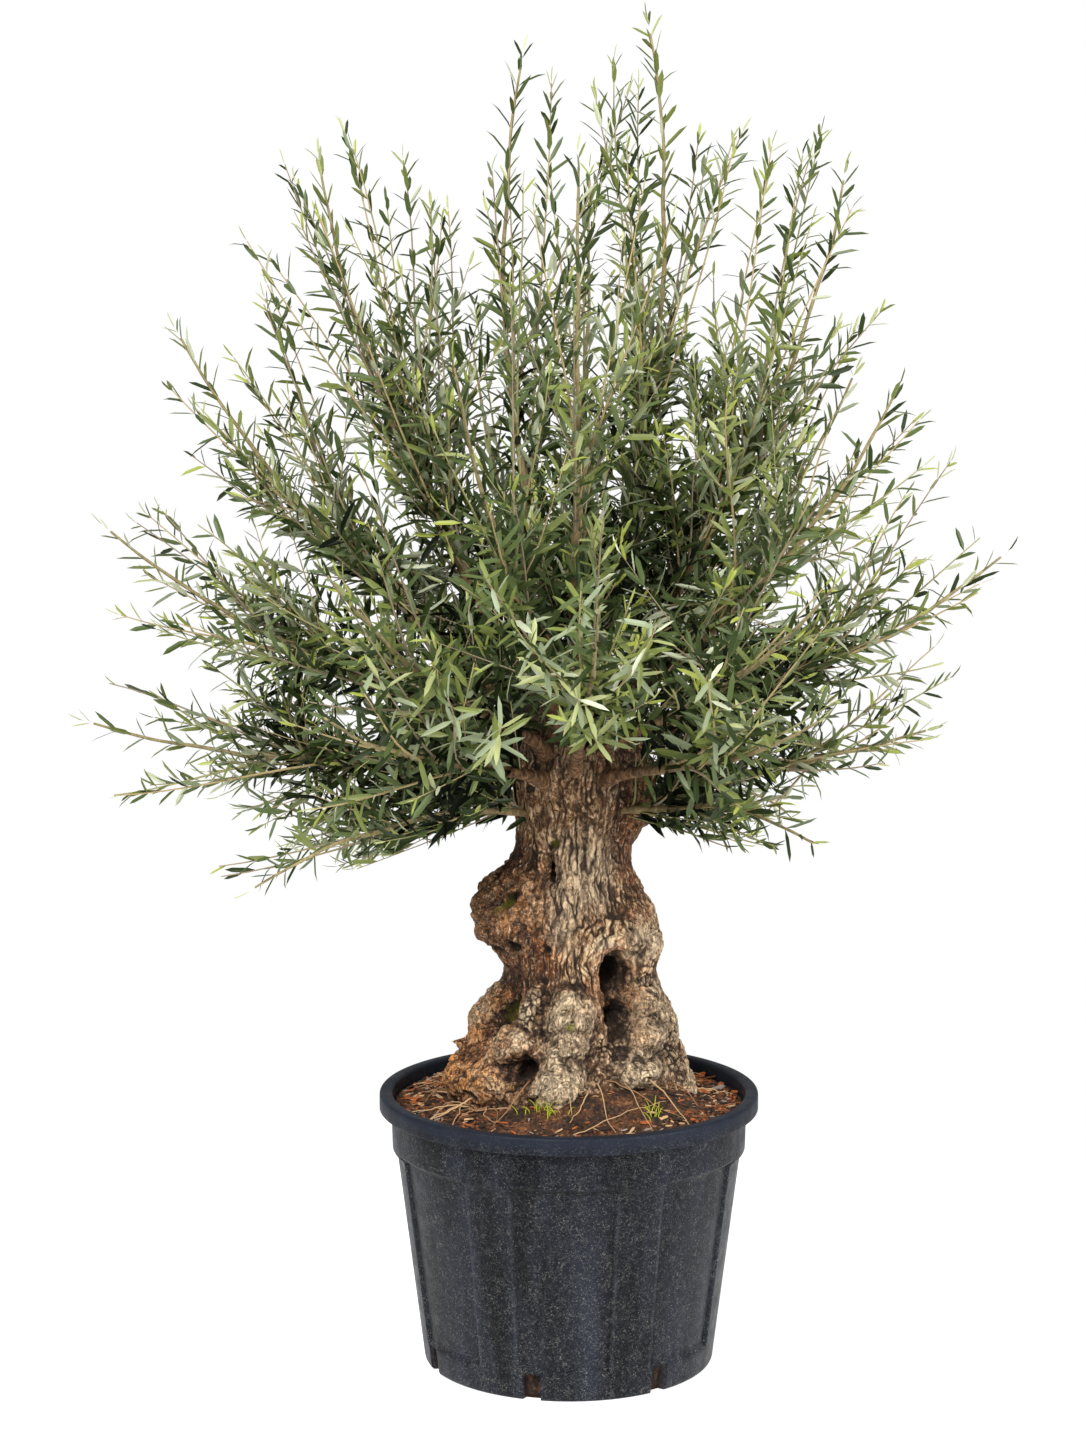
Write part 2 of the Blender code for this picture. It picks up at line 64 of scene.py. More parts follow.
def smoothNoise(points, scale, seed):
    # gradient noise: at each of the 8 lattice corners g . d, blended by 6f^5 - 15f^4 + 10f^3; about -1 to 1
    q = np.asarray(points, dtype=np.float64) * scale
    cell = np.floor(q).astype(np.int64)
    f = q - cell
    w = f * f * f * (f * (f * 6 - 15) + 10)
    total = np.zeros(q.shape[:-1])
    for corner in itertools.product((0, 1), repeat=3):
        h = hashOf(*(cell[..., i] + corner[i] for i in range(3)), seed)
        part = sum((((h >> 10 * i) & 1023) / 511.5 - 1) * (f[..., i] - corner[i]) for i in range(3))
        for i in range(3):
            part = part * (w[..., i] if corner[i] else 1 - w[..., i])
        total += part
    return total * 1.25


def layeredNoise(points, scale, octaves, seed):
    # sum of noise(2^k p) / 2^k
    total = np.zeros(np.asarray(points).shape[:-1])
    for k in range(octaves):
        total += smoothNoise(points, scale * 2**k, seed + 17 * k) / 2**k
    return total


def noiseVector(points, scale, seed):
    return np.stack([smoothNoise(points, scale, seed + k) for k in range(3)], axis=-1)


def cellNoise(points, scale, seed):
    # distances to the nearest and the second nearest of one shaken point a lattice cell, in cell widths
    q = np.asarray(points, dtype=np.float64) * scale
    cell = np.floor(q).astype(np.int64)
    f = q - cell
    near = np.full(q.shape[:-1], 9.0)
    second = near.copy()
    for step in itertools.product((-1, 0, 1), repeat=3):
        h = hashOf(*(cell[..., i] + step[i] for i in range(3)), seed)
        away = [step[i] + ((h >> 10 * i) & 1023) / 1023 - f[..., i] for i in range(3)]
        d = np.sqrt(sum(a * a for a in away))
        second = np.minimum(second, np.maximum(near, d))
        near = np.minimum(near, d)
    return near, second


def unit(v):
    return v / np.maximum(np.linalg.norm(v, axis=-1, keepdims=True), 1e-12)


def turns(n):
    # n even angles once round
    return np.linspace(0, 2 * np.pi, n, endpoint=False)


def roundPoints(radius, angle, height):
    # points at a radius and an angle about the upright axis
    places = np.broadcast_arrays(radius * np.cos(angle), radius * np.sin(angle), height)
    return np.stack(places, axis=-1)


def gridFaces(rows, n):
    # quads between rows of n points, counted row by row and closed sideways
    r, c = np.arange(rows - 1)[:, None], np.arange(n)[None, :]
    a, b = r * n + c, r * n + (c + 1) % n
    return np.stack([a, b, b + n, a + n], axis=-1).reshape(-1, 4)


def endFans(rows, n):
    # triangles that close the first row to one pole and the last row to another, both counted after the rows
    k = np.arange(n)
    first = np.stack([np.full(n, rows * n), (k + 1) % n, k], axis=-1)
    last = np.stack([np.full(n, rows * n + 1), (rows - 1) * n + k, (rows - 1) * n + (k + 1) % n], axis=-1)
    return first, last


def cappedGrid(grid, firstPole, lastPole):
    # rows that wrap round, closed at both ends by a fan to a pole
    rows, n = grid.shape[:2]
    points = np.concatenate([grid.reshape(-1, 3), [firstPole, lastPole]])
    return points, [gridFaces(rows, n), *endFans(rows, n)]


def withPoles(grids):
    # each grid of values as a list, with a nought for both poles
    return {label: np.append(grid.reshape(-1), [0, 0]) for label, grid in grids.items()}


def addMesh(name, points, faces, materials, slots=None, smooth=True, values=None):
    # faces: arrays of threes and of fours; slots: one a face; values: {attribute: one a point}
    mesh = bpy.data.meshes.new(name)
    faces = [f.reshape(-1, f.shape[-1]) for f in faces]
    counts = np.concatenate([np.full(len(f), f.shape[1]) for f in faces])
    loops = np.concatenate([f.reshape(-1) for f in faces]).astype(np.int32)
    mesh.vertices.add(points.size // 3)
    mesh.vertices.foreach_set("co", points.astype(np.float32).reshape(-1))
    mesh.loops.add(len(loops))
    mesh.loops.foreach_set("vertex_index", loops)
    mesh.polygons.add(len(counts))
    mesh.polygons.foreach_set("loop_start", np.concatenate([[0], np.cumsum(counts)[:-1]]).astype(np.int32))
    mesh.polygons.foreach_set("loop_total", counts.astype(np.int32))
    for material in materials:
        mesh.materials.append(material)
    if slots is not None:
        mesh.polygons.foreach_set("material_index", np.asarray(slots, dtype=np.int32))
    mesh.polygons.foreach_set("use_smooth", np.full(len(counts), smooth))
    for label, per in (values or {}).items():
        layer = mesh.attributes.new(label, "FLOAT", "POINT")
        layer.data.foreach_set("value", np.asarray(per, dtype=np.float32).reshape(-1))
    mesh.update(calc_edges=True)
    mesh.validate()
    piece = bpy.data.objects.new(name, mesh)
    bpy.context.scene.collection.objects.link(piece)
    return piece


def srgb(r, g, b):
    # colour numbers of 0 to 255 as the light they stand for
    c = np.array([r, g, b]) / 255
    return tuple(np.where(c <= 0.04045, c / 12.92, ((c + 0.055) / 1.055) ** 2.4)) + (1.0,)


def plainMaterial(name, colour, roughness, specular=0.5):
    made = bpy.data.materials.new(name)
    made.use_nodes = True
    shader = made.node_tree.nodes["Principled BSDF"]
    shader.inputs["Base Color"].default_value = srgb(*colour)
    shader.inputs["Roughness"].default_value = roughness
    shader.inputs["Specular IOR Level"].default_value = specular
    made.diffuse_color = srgb(*colour)
    return made


class NodeMaterial:
    # a Principled material with short ways to add nodes

    def __init__(self, name, roughness=0.8):
        self.material = bpy.data.materials.new(name)
        self.material.use_nodes = True
        self.tree = self.material.node_tree
        self.shader = self.tree.nodes["Principled BSDF"]
        self.shader.inputs["Roughness"].default_value = roughness
        self.place = self.tree.nodes.new("ShaderNodeTexCoord").outputs["Object"]

    def add(self, kind, **settings):
        node = self.tree.nodes.new(kind)
        for key, value in settings.items():
            setattr(node, key, value)
        return node

    def link(self, source, target):
        self.tree.links.new(source, target)

    def stretched(self, scale):
        node = self.add("ShaderNodeMapping")
        node.inputs["Scale"].default_value = scale
        self.link(self.place, node.inputs["Vector"])
        return node.outputs["Vector"]

    def noise(self, scale, detail=3.0, roughness=0.55, vector=None, distortion=0.0):
        node = self.add("ShaderNodeTexNoise")
        numbers = {"Scale": scale, "Detail": detail, "Roughness": roughness, "Distortion": distortion}
        for label, value in numbers.items():
            node.inputs[label].default_value = value
        self.link(vector or self.place, node.inputs["Vector"])
        return node.outputs["Fac"]

    def cells(self, scale):
        node = self.add("ShaderNodeTexVoronoi")
        node.inputs["Scale"].default_value = scale
        self.link(self.place, node.inputs["Vector"])
        return node.outputs["Distance"]

    def warped(self, vector, scale, amount):
        # the vector pushed about by coloured noise
        cloud = self.add("ShaderNodeTexNoise")
        cloud.inputs["Scale"].default_value = scale
        self.link(self.place, cloud.inputs["Vector"])
        push = self.add("ShaderNodeVectorMath", operation="MULTIPLY_ADD")
        self.link(cloud.outputs["Color"], push.inputs[0])
        push.inputs[1].default_value = (amount, amount, amount)
        self.link(vector, push.inputs[2])
        return push.outputs["Vector"]

    def attribute(self, label):
        return self.add("ShaderNodeAttribute", attribute_name=label).outputs["Fac"]

    def ramp(self, source, stops):
        # stops: (place, colour of three numbers 0 to 255, or one value 0 to 1)
        node = self.add("ShaderNodeValToRGB")
        elements = node.color_ramp.elements
        for i, (place, colour) in enumerate(stops):
            element = elements[i] if i < 2 else elements.new(place)
            element.position = place
            element.color = srgb(*colour) if isinstance(colour, tuple) else (*[colour] * 3, 1)
        self.link(source, node.inputs["Fac"])
        return node.outputs["Color"]

    def feed(self, value, socket):
        # a number or a colour is set, an output is linked
        if isinstance(value, (int, float)):
            socket.default_value = value
        elif isinstance(value, tuple):
            socket.default_value = srgb(*value)
        else:
            self.link(value, socket)

    def mix(self, amount, a, b, blend="MIX"):
        node = self.add("ShaderNodeMix", data_type="RGBA", blend_type=blend)
        for value, label in ((amount, "Factor"), (a, "A"), (b, "B")):
            self.feed(value, node.inputs[label])
        return node.outputs["Result"]

    def layered(self, colour, layers):
        # tints laid one over another, each (mask, tint) or (mask, tint, way of blending)
        for mask, *tint in layers:
            colour = self.mix(mask, colour, *tint)
        return colour

    def math(self, operation, a, b=0.0):
        node = self.add("ShaderNodeMath", operation=operation)
        self.feed(a, node.inputs[0])
        self.feed(b, node.inputs[1])
        return node.outputs["Value"]

    def times(self, a, b):
        return self.math("MULTIPLY", a, b)

    def plus(self, a, b):
        return self.math("ADD", a, b)

    def middleOf(self, noise):
        # 0 where the noise passes through its middle
        return self.math("ABSOLUTE", self.math("SUBTRACT", noise, 0.5))

    def level(self, label, low, high, most):
        return self.ramp(self.attribute(label), [(low, 0.0), (high, most)])

    def tinted(self, label, ragged, most):
        # a place's attribute with its edge broken up by noise
        return self.ramp(self.plus(self.attribute(label), ragged), [(0.25, 0.0), (0.85, most)])

    def bump(self, height, strength, distance):
        node = self.add("ShaderNodeBump")
        node.inputs["Strength"].default_value = strength
        node.inputs["Distance"].default_value = distance
        self.link(height, node.inputs["Height"])
        self.link(node.outputs["Normal"], self.shader.inputs["Normal"])

    def finish(self, colour, roughness=None):
        self.link(colour, self.shader.inputs["Base Color"])
        if roughness is not None:
            self.link(roughness, self.shader.inputs["Roughness"])
        return self.material


pot = {
    "height": 0.436, "footRadius": 0.230, "taper": 0.125, "wall": 0.0061, "floor": 0.0045,
    "rimRadius": 0.300, "rimDepth": 0.027, "ledge": 0.010, "lip": 0.0045,
    "collarRadius": 0.282, "collarBottom": 0.349, "collarDip": 0.005,
    "panels": 7, "panelBearing": 267.9, "panelSpan": 35.0, "panelEdge": 0.9, "panelDepth": 0.0060,
    "panelTop": 0.3430, "panelBottom": 0.045,
    "slots": 7, "slotBearing": 255.3, "slotWidth": 0.028, "slotEdge": 0.0012, "slotHeight": 0.042,
    "slotInner": 0.2150,
    "oval": 0.0012, "around": 840, "arcSteps": 6, "ringStep": 0.0085, "plainStep": 0.045, "plainSpan": 0.1,
}


def potOuter(z):
    # outer radius of the wall, straight from foot to top: footRadius + taper z
    return pot["footRadius"] + pot["taper"] * z


def softStep(x, low, high):
    # 0 below low, 1 above high, 3t^2 - 2t^3 between them
    t = np.clip((x - low) / (high - low), 0, 1)
    return t * t * (3 - 2 * t)


def offPlace(degrees, bearing, count):
    # degrees from the nearest of evenly spaced places, one of them at the bearing
    pitch = 360 / count
    return np.abs((degrees - bearing + pitch / 2) % pitch - pitch / 2)


def partWay(b, p, size):
    # from b towards p by the size, at most halfway
    span = np.linalg.norm(p - b)
    return b + (p - b) / span * min(size, span * 0.5)


def roundedPath(corners):
    # a path of (radius, height, s) corners, each turned into an arc of size s: (1-t)^2 a + 2t(1-t) b + t^2 c
    path = [np.array(corners[0][:2])]
    for before, here, after in zip(corners, corners[1:], corners[2:]):
        a, b, c = (np.array(p[:2]) for p in (before, here, after))
        size = here[2]
        if size == 0:
            path.append(b)
            continue
        ta, tc = partWay(b, a, size), partWay(b, c, size)
        for t in np.linspace(0, 1, pot["arcSteps"]):
            path.append((1 - t) ** 2 * ta + 2 * t * (1 - t) * b + t * t * tc)
    path.append(np.array(corners[-1][:2]))
    return np.array(path)


def finePath(path):
    # extra points so that no step is longer than ringStep, or than plainStep on spans past plainSpan
    out = [path[0]]
    for a, b in zip(path, path[1:]):
        span = np.linalg.norm(b - a)
        n = max(1, int(math.ceil(span / pot["plainStep" if span > pot["plainSpan"] else "ringStep"])))
        out += [a + (b - a) * k / n for k in range(1, n + 1)]
    return np.array(out)


def potPath():
    # the pot's profile from the middle of its underside, over the rim and down to the middle of its floor
    top, floor, wall, inner = pot["height"], pot["floor"], pot["wall"], pot["slotInner"] - 0.010
    under, rimLow = top - pot["ledge"], top - pot["rimDepth"]
    rim, lip, collar, collarLow = pot["rimRadius"], pot["lip"], pot["collarRadius"], pot["collarBottom"]
    # between these heights the wall is plain and needs few rings
    foot, head = pot["panelBottom"] + 0.013, pot["panelTop"] - 0.019
    return finePath(roundedPath([
        (0.0001, 0.0, 0), (inner, 0.0, 0), (potOuter(0), 0.0, 0.006), (potOuter(foot), foot, 0),
        (potOuter(head), head, 0), (potOuter(collarLow), collarLow - 0.003, 0.002),
        (collar - 0.002, collarLow + 0.001, 0.003), (collar, under, 0.002),
        (rim - lip, under, 0.002), (rim - lip, rimLow, 0.0012), (rim, rimLow - 0.0005, 0.0016),
        (rim, top, 0.0055), (potOuter(top) - wall + 0.001, top, 0.006), (potOuter(foot) - wall, foot, 0),
        (potOuter(floor) - wall, floor, 0.003), (inner, floor, 0), (0.0001, floor, 0),
    ]))


def buildPot():
    # the profile turned round, r(a, z), less each panel's window and each slot's notch
    top, collarLow, inner = pot["height"], pot["collarBottom"], pot["slotInner"]
    path = potPath()
    n = pot["around"]
    angle = turns(n)
    r, z = (np.repeat(column[:, None], n, axis=1) for column in path.T)
    degrees = np.degrees(angle)[None, :]
    outside = (np.arange(len(path)) < np.argmax(path[:, 0]))[:, None]
    # panels: the wall sinks by panelDepth inside soft-edged windows
    off, half = offPlace(degrees, pot["panelBearing"], pot["panels"]), pot["panelSpan"] / 2
    window = 1 - softStep(off, half - pot["panelEdge"], half)
    low, high = pot["panelBottom"], pot["panelTop"]
    tall = softStep(z, low, low + 0.006) * (1 - softStep(z, high, high + 0.004))
    r = r - np.where(outside, pot["panelDepth"] * window * tall, 0)
    # the collar's lower edge dips a little between panels
    nearCollar = outside & (np.abs(z - collarLow) < 0.006)
    z = z - np.where(nearCollar, pot["collarDip"] * (1 - window), 0)
    # slots: the wall is pushed in to the soil behind it
    across = np.radians(offPlace(degrees, pot["slotBearing"], pot["slots"])) * np.maximum(r, 0.2)
    halfSlot = pot["slotWidth"] / 2
    inSlot = (1 - softStep(across, halfSlot - pot["slotEdge"], halfSlot)) * (z < pot["slotHeight"])
    slotted = (inSlot > 0) & (r > inner)
    r = np.where(slotted, r + (inner - np.where(outside, 0, 0.003) - r) * inSlot, r)
    # hardly out of round, as thin moulded plastic is
    r = r * (1 + pot["oval"] * np.sin(2 * angle + 0.7)[None, :] * (z / top))
    points, faces = cappedGrid(roundPoints(r, angle, z), [0, 0, 0], [0, 0, pot["floor"]])
    # the rim's own bluish tone, graded lighter towards its top as a painted highlight
    rimToneAndHighlight = np.where((path[:, 0] > pot["collarRadius"] + 0.004) | (path[:, 1] > top - 0.006), 1.0, 0.0)
    rimToneAndHighlight = rimToneAndHighlight * (0.35 + 0.65 * softStep(path[:, 1], top - pot["rimDepth"] + 0.004, top - 0.008))
    # painted shade lies along the foot of each panel's step and under the collar, and the step's outer corner
    # is rubbed pale and given a painted highlight
    edge = off - half
    shadeUnderCollar = window * softStep(z, high - 0.016, high)
    values = {
        "slot": np.where(slotted, inSlot, 0), "rim": np.repeat(rimToneAndHighlight[:, None], n, axis=1),
        "under": outside * tall * np.maximum(np.exp(-(((edge + 1.3) / 0.9) ** 2)), shadeUnderCollar),
        "rubbedAndHighlit": outside * tall * np.exp(-(((edge - 0.5) / 0.5) ** 2)),
    }
    return addMesh("potShell", points, faces, [potPlastic()], values=withPoles(values))


def potPlastic():
    m = NodeMaterial("blackMouldedPlastic", 0.5)
    m.shader.inputs["Specular IOR Level"].default_value = 0.09
    broad = m.noise(7.0, 3.0, 0.6, m.stretched((1.0, 1.0, 0.4)))
    dust = m.noise(38.0, 5.0, 0.7)
    streaks = m.noise(16.0, 4.0, 0.6, m.stretched((1.0, 1.0, 0.05)))
    # hair-fine pale curls, thicker in worn places
    curls = m.middleOf(m.noise(125.0, 2.0, 0.6, None, 1.2))
    worn = m.ramp(m.plus(m.noise(60.0, 4.0, 0.7), m.times(streaks, 0.3)), [(0.52, 0.20), (0.86, 1.0)])
    specks = m.ramp(m.cells(210.0), [(0.08, 1.0), (0.19, 0.0)])
    colour = m.layered(m.ramp(broad, [(0.30, (9, 10, 13)), (0.70, (20, 22, 28))]), [
        (m.ramp(streaks, [(0.42, 0.0), (0.66, 0.55)]), (42, 47, 58)),
        # painted shade along the foot of each step and under the collar
        (m.times(m.attribute("under"), 0.80), (4, 4, 6)),
        # the steps' rubbed outer corners, with a painted highlight
        (m.times(m.attribute("rubbedAndHighlit"), m.ramp(dust, [(0.40, 0.10), (0.62, 0.50)])), (62, 66, 76)),
        (m.ramp(dust, [(0.54, 0.0), (0.86, 0.20)]), (72, 71, 68)),
        (m.times(m.ramp(curls, [(0.010, 0.55), (0.030, 0.0)]), worn), (112, 111, 108)),
        (m.times(specks, m.times(worn, 0.70)), (168, 162, 150)),
        # the rim's bluish tone and its painted highlight
        (m.times(m.attribute("rim"), 0.80), (34, 39, 50)),
        (m.attribute("slot"), (40, 26, 16)),
    ])
    m.bump(m.plus(m.times(m.noise(900.0, 2.0), 0.5), broad), 0.25, 0.0006)
    return m.finish(colour, m.ramp(dust, [(0.35, 0.34), (0.75, 0.58)]))


potShell = buildPot()
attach(potShell, "root")
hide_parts("pot")
print("pot made")


trunk = {
    "foot": 0.4300, "height": 0.630, "axis": (0.006, 0.0), "radius": 0.084,
    "flare": 0.075, "flareHeight": 0.13,
    "headStart": 0.545, "headSwell": 0.012, "around": 540, "rows": 356, "sink": 0.006, "tuck": 0.0006,
    # swellings and hollows: bearing, height, depth, half-width, half-height
    "burls": {
        "left foot": (186, 0.032, 0.048, 0.070, 0.040),
        "left stub": (187, 0.086, 0.024, 0.010, 0.007),
        "left knee": (192, 0.132, 0.050, 0.060, 0.038),
        "left front leg": (211, 0.058, 0.042, 0.055, 0.046),
        "left hollow": (212, 0.143, -0.060, 0.016, 0.029),
        "left knob": (231, 0.104, 0.036, 0.023, 0.020),
        "left column": (237, 0.158, 0.014, 0.018, 0.030),
        "left cavity": (238, 0.064, -0.050, 0.017, 0.016),
        "left burl": (197, 0.318, 0.066, 0.060, 0.040),
        "left burl eye": (221, 0.328, -0.022, 0.013, 0.013),
        "left burl lobe": (211, 0.285, 0.026, 0.032, 0.026),
        "burl bump high": (186, 0.352, 0.013, 0.022, 0.016),
        "burl bump low": (205, 0.262, 0.015, 0.018, 0.014),
        "burl bump front": (214, 0.302, 0.011, 0.014, 0.012),
        "burl bump back": (176, 0.285, 0.013, 0.024, 0.018),
        "left burl root": (196, 0.248, 0.030, 0.050, 0.026),
        "middle knob": (268, 0.150, 0.046, 0.034, 0.030),
        "middle lobe": (264, 0.103, 0.034, 0.028, 0.020),
        "middle foot": (259, 0.048, 0.050, 0.036, 0.032),
        "middle rib": (268, 0.215, 0.014, 0.026, 0.046),
        "deep hollow": (309, 0.210, -0.074, 0.018, 0.030),
        "deep hollow foot": (306, 0.138, -0.060, 0.012, 0.036),
        "brow": (303, 0.262, 0.010, 0.032, 0.014),
        "right front knee": (319, 0.166, 0.044, 0.032, 0.024),
        "right front shin": (321, 0.112, 0.040, 0.034, 0.023),
        "right front toe": (315, 0.060, 0.042, 0.030, 0.022),
        "right shoulder": (338, 0.250, 0.048, 0.066, 0.044),
        "right upper shoulder": (352, 0.308, 0.018, 0.050, 0.030),
        "right leg": (2, 0.125, 0.048, 0.050, 0.060),
        "right foot": (4, 0.020, 0.040, 0.060, 0.044),
        "fork": (346, 0.500, 0.036, 0.046, 0.055),
        "fork cleft": (320, 0.500, -0.016, 0.012, 0.060),
        "slit": (247, 0.375, -0.020, 0.008, 0.024),
        "back right foot": (52, 0.030, 0.045, 0.055, 0.045),
        "back cleft": (78, 0.070, -0.055, 0.018, 0.060),
        "back foot": (104, 0.030, 0.050, 0.050, 0.050),
        "back burl": (88, 0.255, 0.040, 0.050, 0.040),
        "back left hollow": (131, 0.120, -0.050, 0.018, 0.045),
        "back left foot": (148, 0.040, 0.048, 0.045, 0.050),
        "back left burl": (140, 0.220, 0.030, 0.040, 0.040),
        "back right burl": (40, 0.330, 0.026, 0.040, 0.036),
    },
    # small knots and holes: bearing, height, depth, radius, height of the ring round them
    "knots": {
        "round knot": (250, 0.414, 0.010, 0.0060, 0.0035),
        "slit": (247, 0.378, 0.016, 0.0036, 0.0020),
        "slit middle": (248, 0.369, 0.014, 0.0032, 0.0015),
        "slit foot": (249, 0.360, 0.010, 0.0030, 0.0010),
        "burl eye": (221, 0.328, 0.012, 0.0070, 0.0030),
        "low hole": (222, 0.255, 0.014, 0.0070, 0.0030),
        "rib hole": (248, 0.250, 0.010, 0.0060, 0.0025),
        "knob eye": (269, 0.150, 0.010, 0.0050, 0.0030),
        "shoulder hole": (316, 0.284, 0.008, 0.0045, 0.0020),
        "left hollow": (213, 0.146, 0.014, 0.0120, 0.0040),
        "left hollow foot": (214, 0.128, 0.008, 0.0080, 0.0000),
        "hollow": (310, 0.212, 0.018, 0.0160, 0.0000),
        "hollow foot": (308, 0.150, 0.012, 0.0100, 0.0000),
        "cavity": (241, 0.070, 0.010, 0.0080, 0.0000),
        "back knot": (96, 0.350, 0.012, 0.0080, 0.0040),
        "back hole": (60, 0.240, 0.014, 0.0080, 0.0035),
        "side hole": (160, 0.260, 0.012, 0.0070, 0.0030),
    },
    # tints laid on in places: bearing, height, half-width, half-height; the shade places are painted shade,
    # the pale places paler bark, and on the right foot also a painted highlight
    "tints": {
        "shade": (
            (202, 0.320, 0.075, 0.060), (210, 0.262, 0.060, 0.036), (318, 0.460, 0.034, 0.080),
            (318, 0.560, 0.060, 0.060), (308, 0.190, 0.026, 0.050), (240, 0.062, 0.030, 0.030),
            (212, 0.140, 0.024, 0.030), (215, 0.590, 0.120, 0.060), (60, 0.200, 0.060, 0.060),
            (130, 0.120, 0.050, 0.060), (78, 0.070, 0.040, 0.070), (275, 0.620, 0.200, 0.050),
        ),
        "pale": (
            (326, 0.256, 0.030, 0.034), (268, 0.140, 0.036, 0.050), (262, 0.320, 0.026, 0.070),
            (323, 0.150, 0.034, 0.050), (285, 0.370, 0.050, 0.060), (237, 0.160, 0.016, 0.030),
            (90, 0.260, 0.050, 0.060), (20, 0.280, 0.060, 0.060), (160, 0.200, 0.050, 0.060),
            (316, 0.070, 0.040, 0.040), (336, 0.130, 0.050, 0.080), (264, 0.070, 0.036, 0.040),
        ),
        "rust": (
            (223, 0.152, 0.009, 0.028), (230, 0.108, 0.016, 0.012), (300, 0.250, 0.020, 0.006),
            (224, 0.344, 0.010, 0.008), (284, 0.200, 0.012, 0.020), (312, 0.160, 0.007, 0.010),
            (330, 0.300, 0.030, 0.016), (60, 0.110, 0.020, 0.020),
        ),
        "brown": (
            (200, 0.300, 0.110, 0.100), (195, 0.060, 0.120, 0.080), (212, 0.170, 0.040, 0.060),
            (312, 0.180, 0.050, 0.080), (345, 0.450, 0.050, 0.120), (100, 0.150, 0.120, 0.080),
            (40, 0.280, 0.080, 0.120), (245, 0.240, 0.040, 0.040),
        ),
        "moss": (
            (210, 0.148, 0.009, 0.014), (250, 0.414, 0.005, 0.006), (268, 0.142, 0.007, 0.006),
            (219, 0.322, 0.006, 0.010),
        ),
    },
    # burls with a groove round them, and how deep it is
    "grooved": {
        "burl bump high": 0.005, "burl bump low": 0.006, "burl bump front": 0.005, "burl bump back": 0.005,
        "middle knob": 0.009, "middle lobe": 0.007, "left knob": 0.009, "left column": 0.006,
        "right front knee": 0.010, "right front shin": 0.010, "right front toe": 0.009,
        "left burl lobe": 0.004, "left knee": 0.004, "left front leg": 0.005, "middle foot": 0.006,
        "back foot": 0.006, "back burl": 0.005, "back left foot": 0.006, "back right foot": 0.006,
        "back left burl": 0.004,
    },
    # places with small round pebbles: bearing, height, half-width, half-height
    "pebbled": (
        (238, 0.160, 0.020, 0.036), (334, 0.190, 0.016, 0.040), (296, 0.100, 0.022, 0.020),
        (350, 0.080, 0.030, 0.036), (110, 0.160, 0.050, 0.040), (20, 0.200, 0.040, 0.040),
        (170, 0.090, 0.040, 0.040),
    ),
    # lines in the bark, furrows and branches up the trunk and wrinkles on the burls:
    # how far they wander and waver, their squeeze upwards, how many a metre, their width, seed
    "creases": {
        "furrows": (0.009, 0.003, 0.19, 84, 0.15, 31), "branches": (0.012, 0.004, 0.34, 120, 0.12, 33),
        "wrinkles": (0.016, 0.006, 1.0, 40, 0.10, 41), "finer": (0.010, 0.006, 0.6, 86, 0.13, 43),
    },
    # round forms: how far they wander and waver, how many a metre, seed
    "lumps": (0.014, 0.004, 25, 43), "pebbles": (0.005, 0.003, 84, 47),
    # where the upper trunk is knobbly too: bearing, height, half-width, half-height
    "gnarled": ((200, 0.31, 0.09, 0.07), (345, 0.27, 0.05, 0.05), (90, 0.27, 0.07, 0.06)),
    # how far forms drift sideways, how high knobs stand, how deep cracks go, then finer and finer unevenness
    "drift": 0.009, "knob": 0.0085, "crack": 0.0036, "swell": 0.0026, "ripple": 0.0014, "grit": 0.0007,
}


def turnFrom(bearing, middle):
    return np.radians((bearing - middle + 180) % 360 - 180)


def fromPlace(bearing, height, radius, place):
    # u and v, sideways and upwards from a place (bearing, height, half-width, half-height) in its half-sizes
    middle, level, halfWidth, halfHeight = place
    return turnFrom(bearing, middle) * radius / halfWidth, (height - level) / halfHeight


def trunkRadius(bearing, height):
    # column R + F e^(-h/H), plus each burl d e^(-0.7(u^2+v^2)), times the rounded head sqrt(1 - s^2)
    column = trunk["radius"] + trunk["flare"] * np.exp(-height / trunk["flareHeight"])
    column = column + trunk["headSwell"] * np.clip((height - 0.40) / 0.12, 0, 1)
    radius = column.copy()
    for middle, level, depth, *size in trunk["burls"].values():
        u, v = fromPlace(bearing, height, column, (middle, level, *size))
        radius = radius + depth * np.exp(-0.7 * (u**2 + v**2))
    head = np.clip((height - trunk["headStart"]) / (trunk["height"] - trunk["headStart"]), 0, 1)
    return np.maximum(radius, 0.03) * np.sqrt(np.maximum(1 - head**2, 0.0025))


def trunkPoint(bearing, height, radius):
    return roundPoints(radius, np.radians(bearing), height) + [*trunk["axis"], trunk["foot"]]


def gridNormals(p):
    # cross product of the two grid directions
    around = np.roll(p, -1, axis=1) - np.roll(p, 1, axis=1)
    return unit(np.cross(around, np.gradient(p, axis=0)))


def spots(bearing, height, radius, places):
    # the highest of e^(-0.7(u^2 + v^2)) over the places
    value = np.zeros_like(height)
    for place in places:
        u, v = fromPlace(bearing, height, radius, place)
        value = np.maximum(value, np.exp(-0.7 * (u**2 + v**2)))
    return value


def blurred(values, steps):
    # box blurs of growing step, sideways round the trunk and up and down it
    for step in steps:
        values = (values + np.roll(values, step, 1) + np.roll(values, -step, 1)) / 3
        up = np.concatenate([np.repeat(values[:1], step, 0), values[:-step]])
        down = np.concatenate([values[step:], np.repeat(values[-1:], step, 0)])
        values = (values + up + down) / 3
    return values


def creases(points, scale, width, seed):
    # thin lines along which gradient noise n passes through zero: e^(-(n/w)^2)
    return np.exp(-(smoothNoise(points, scale, seed) / width) ** 2)


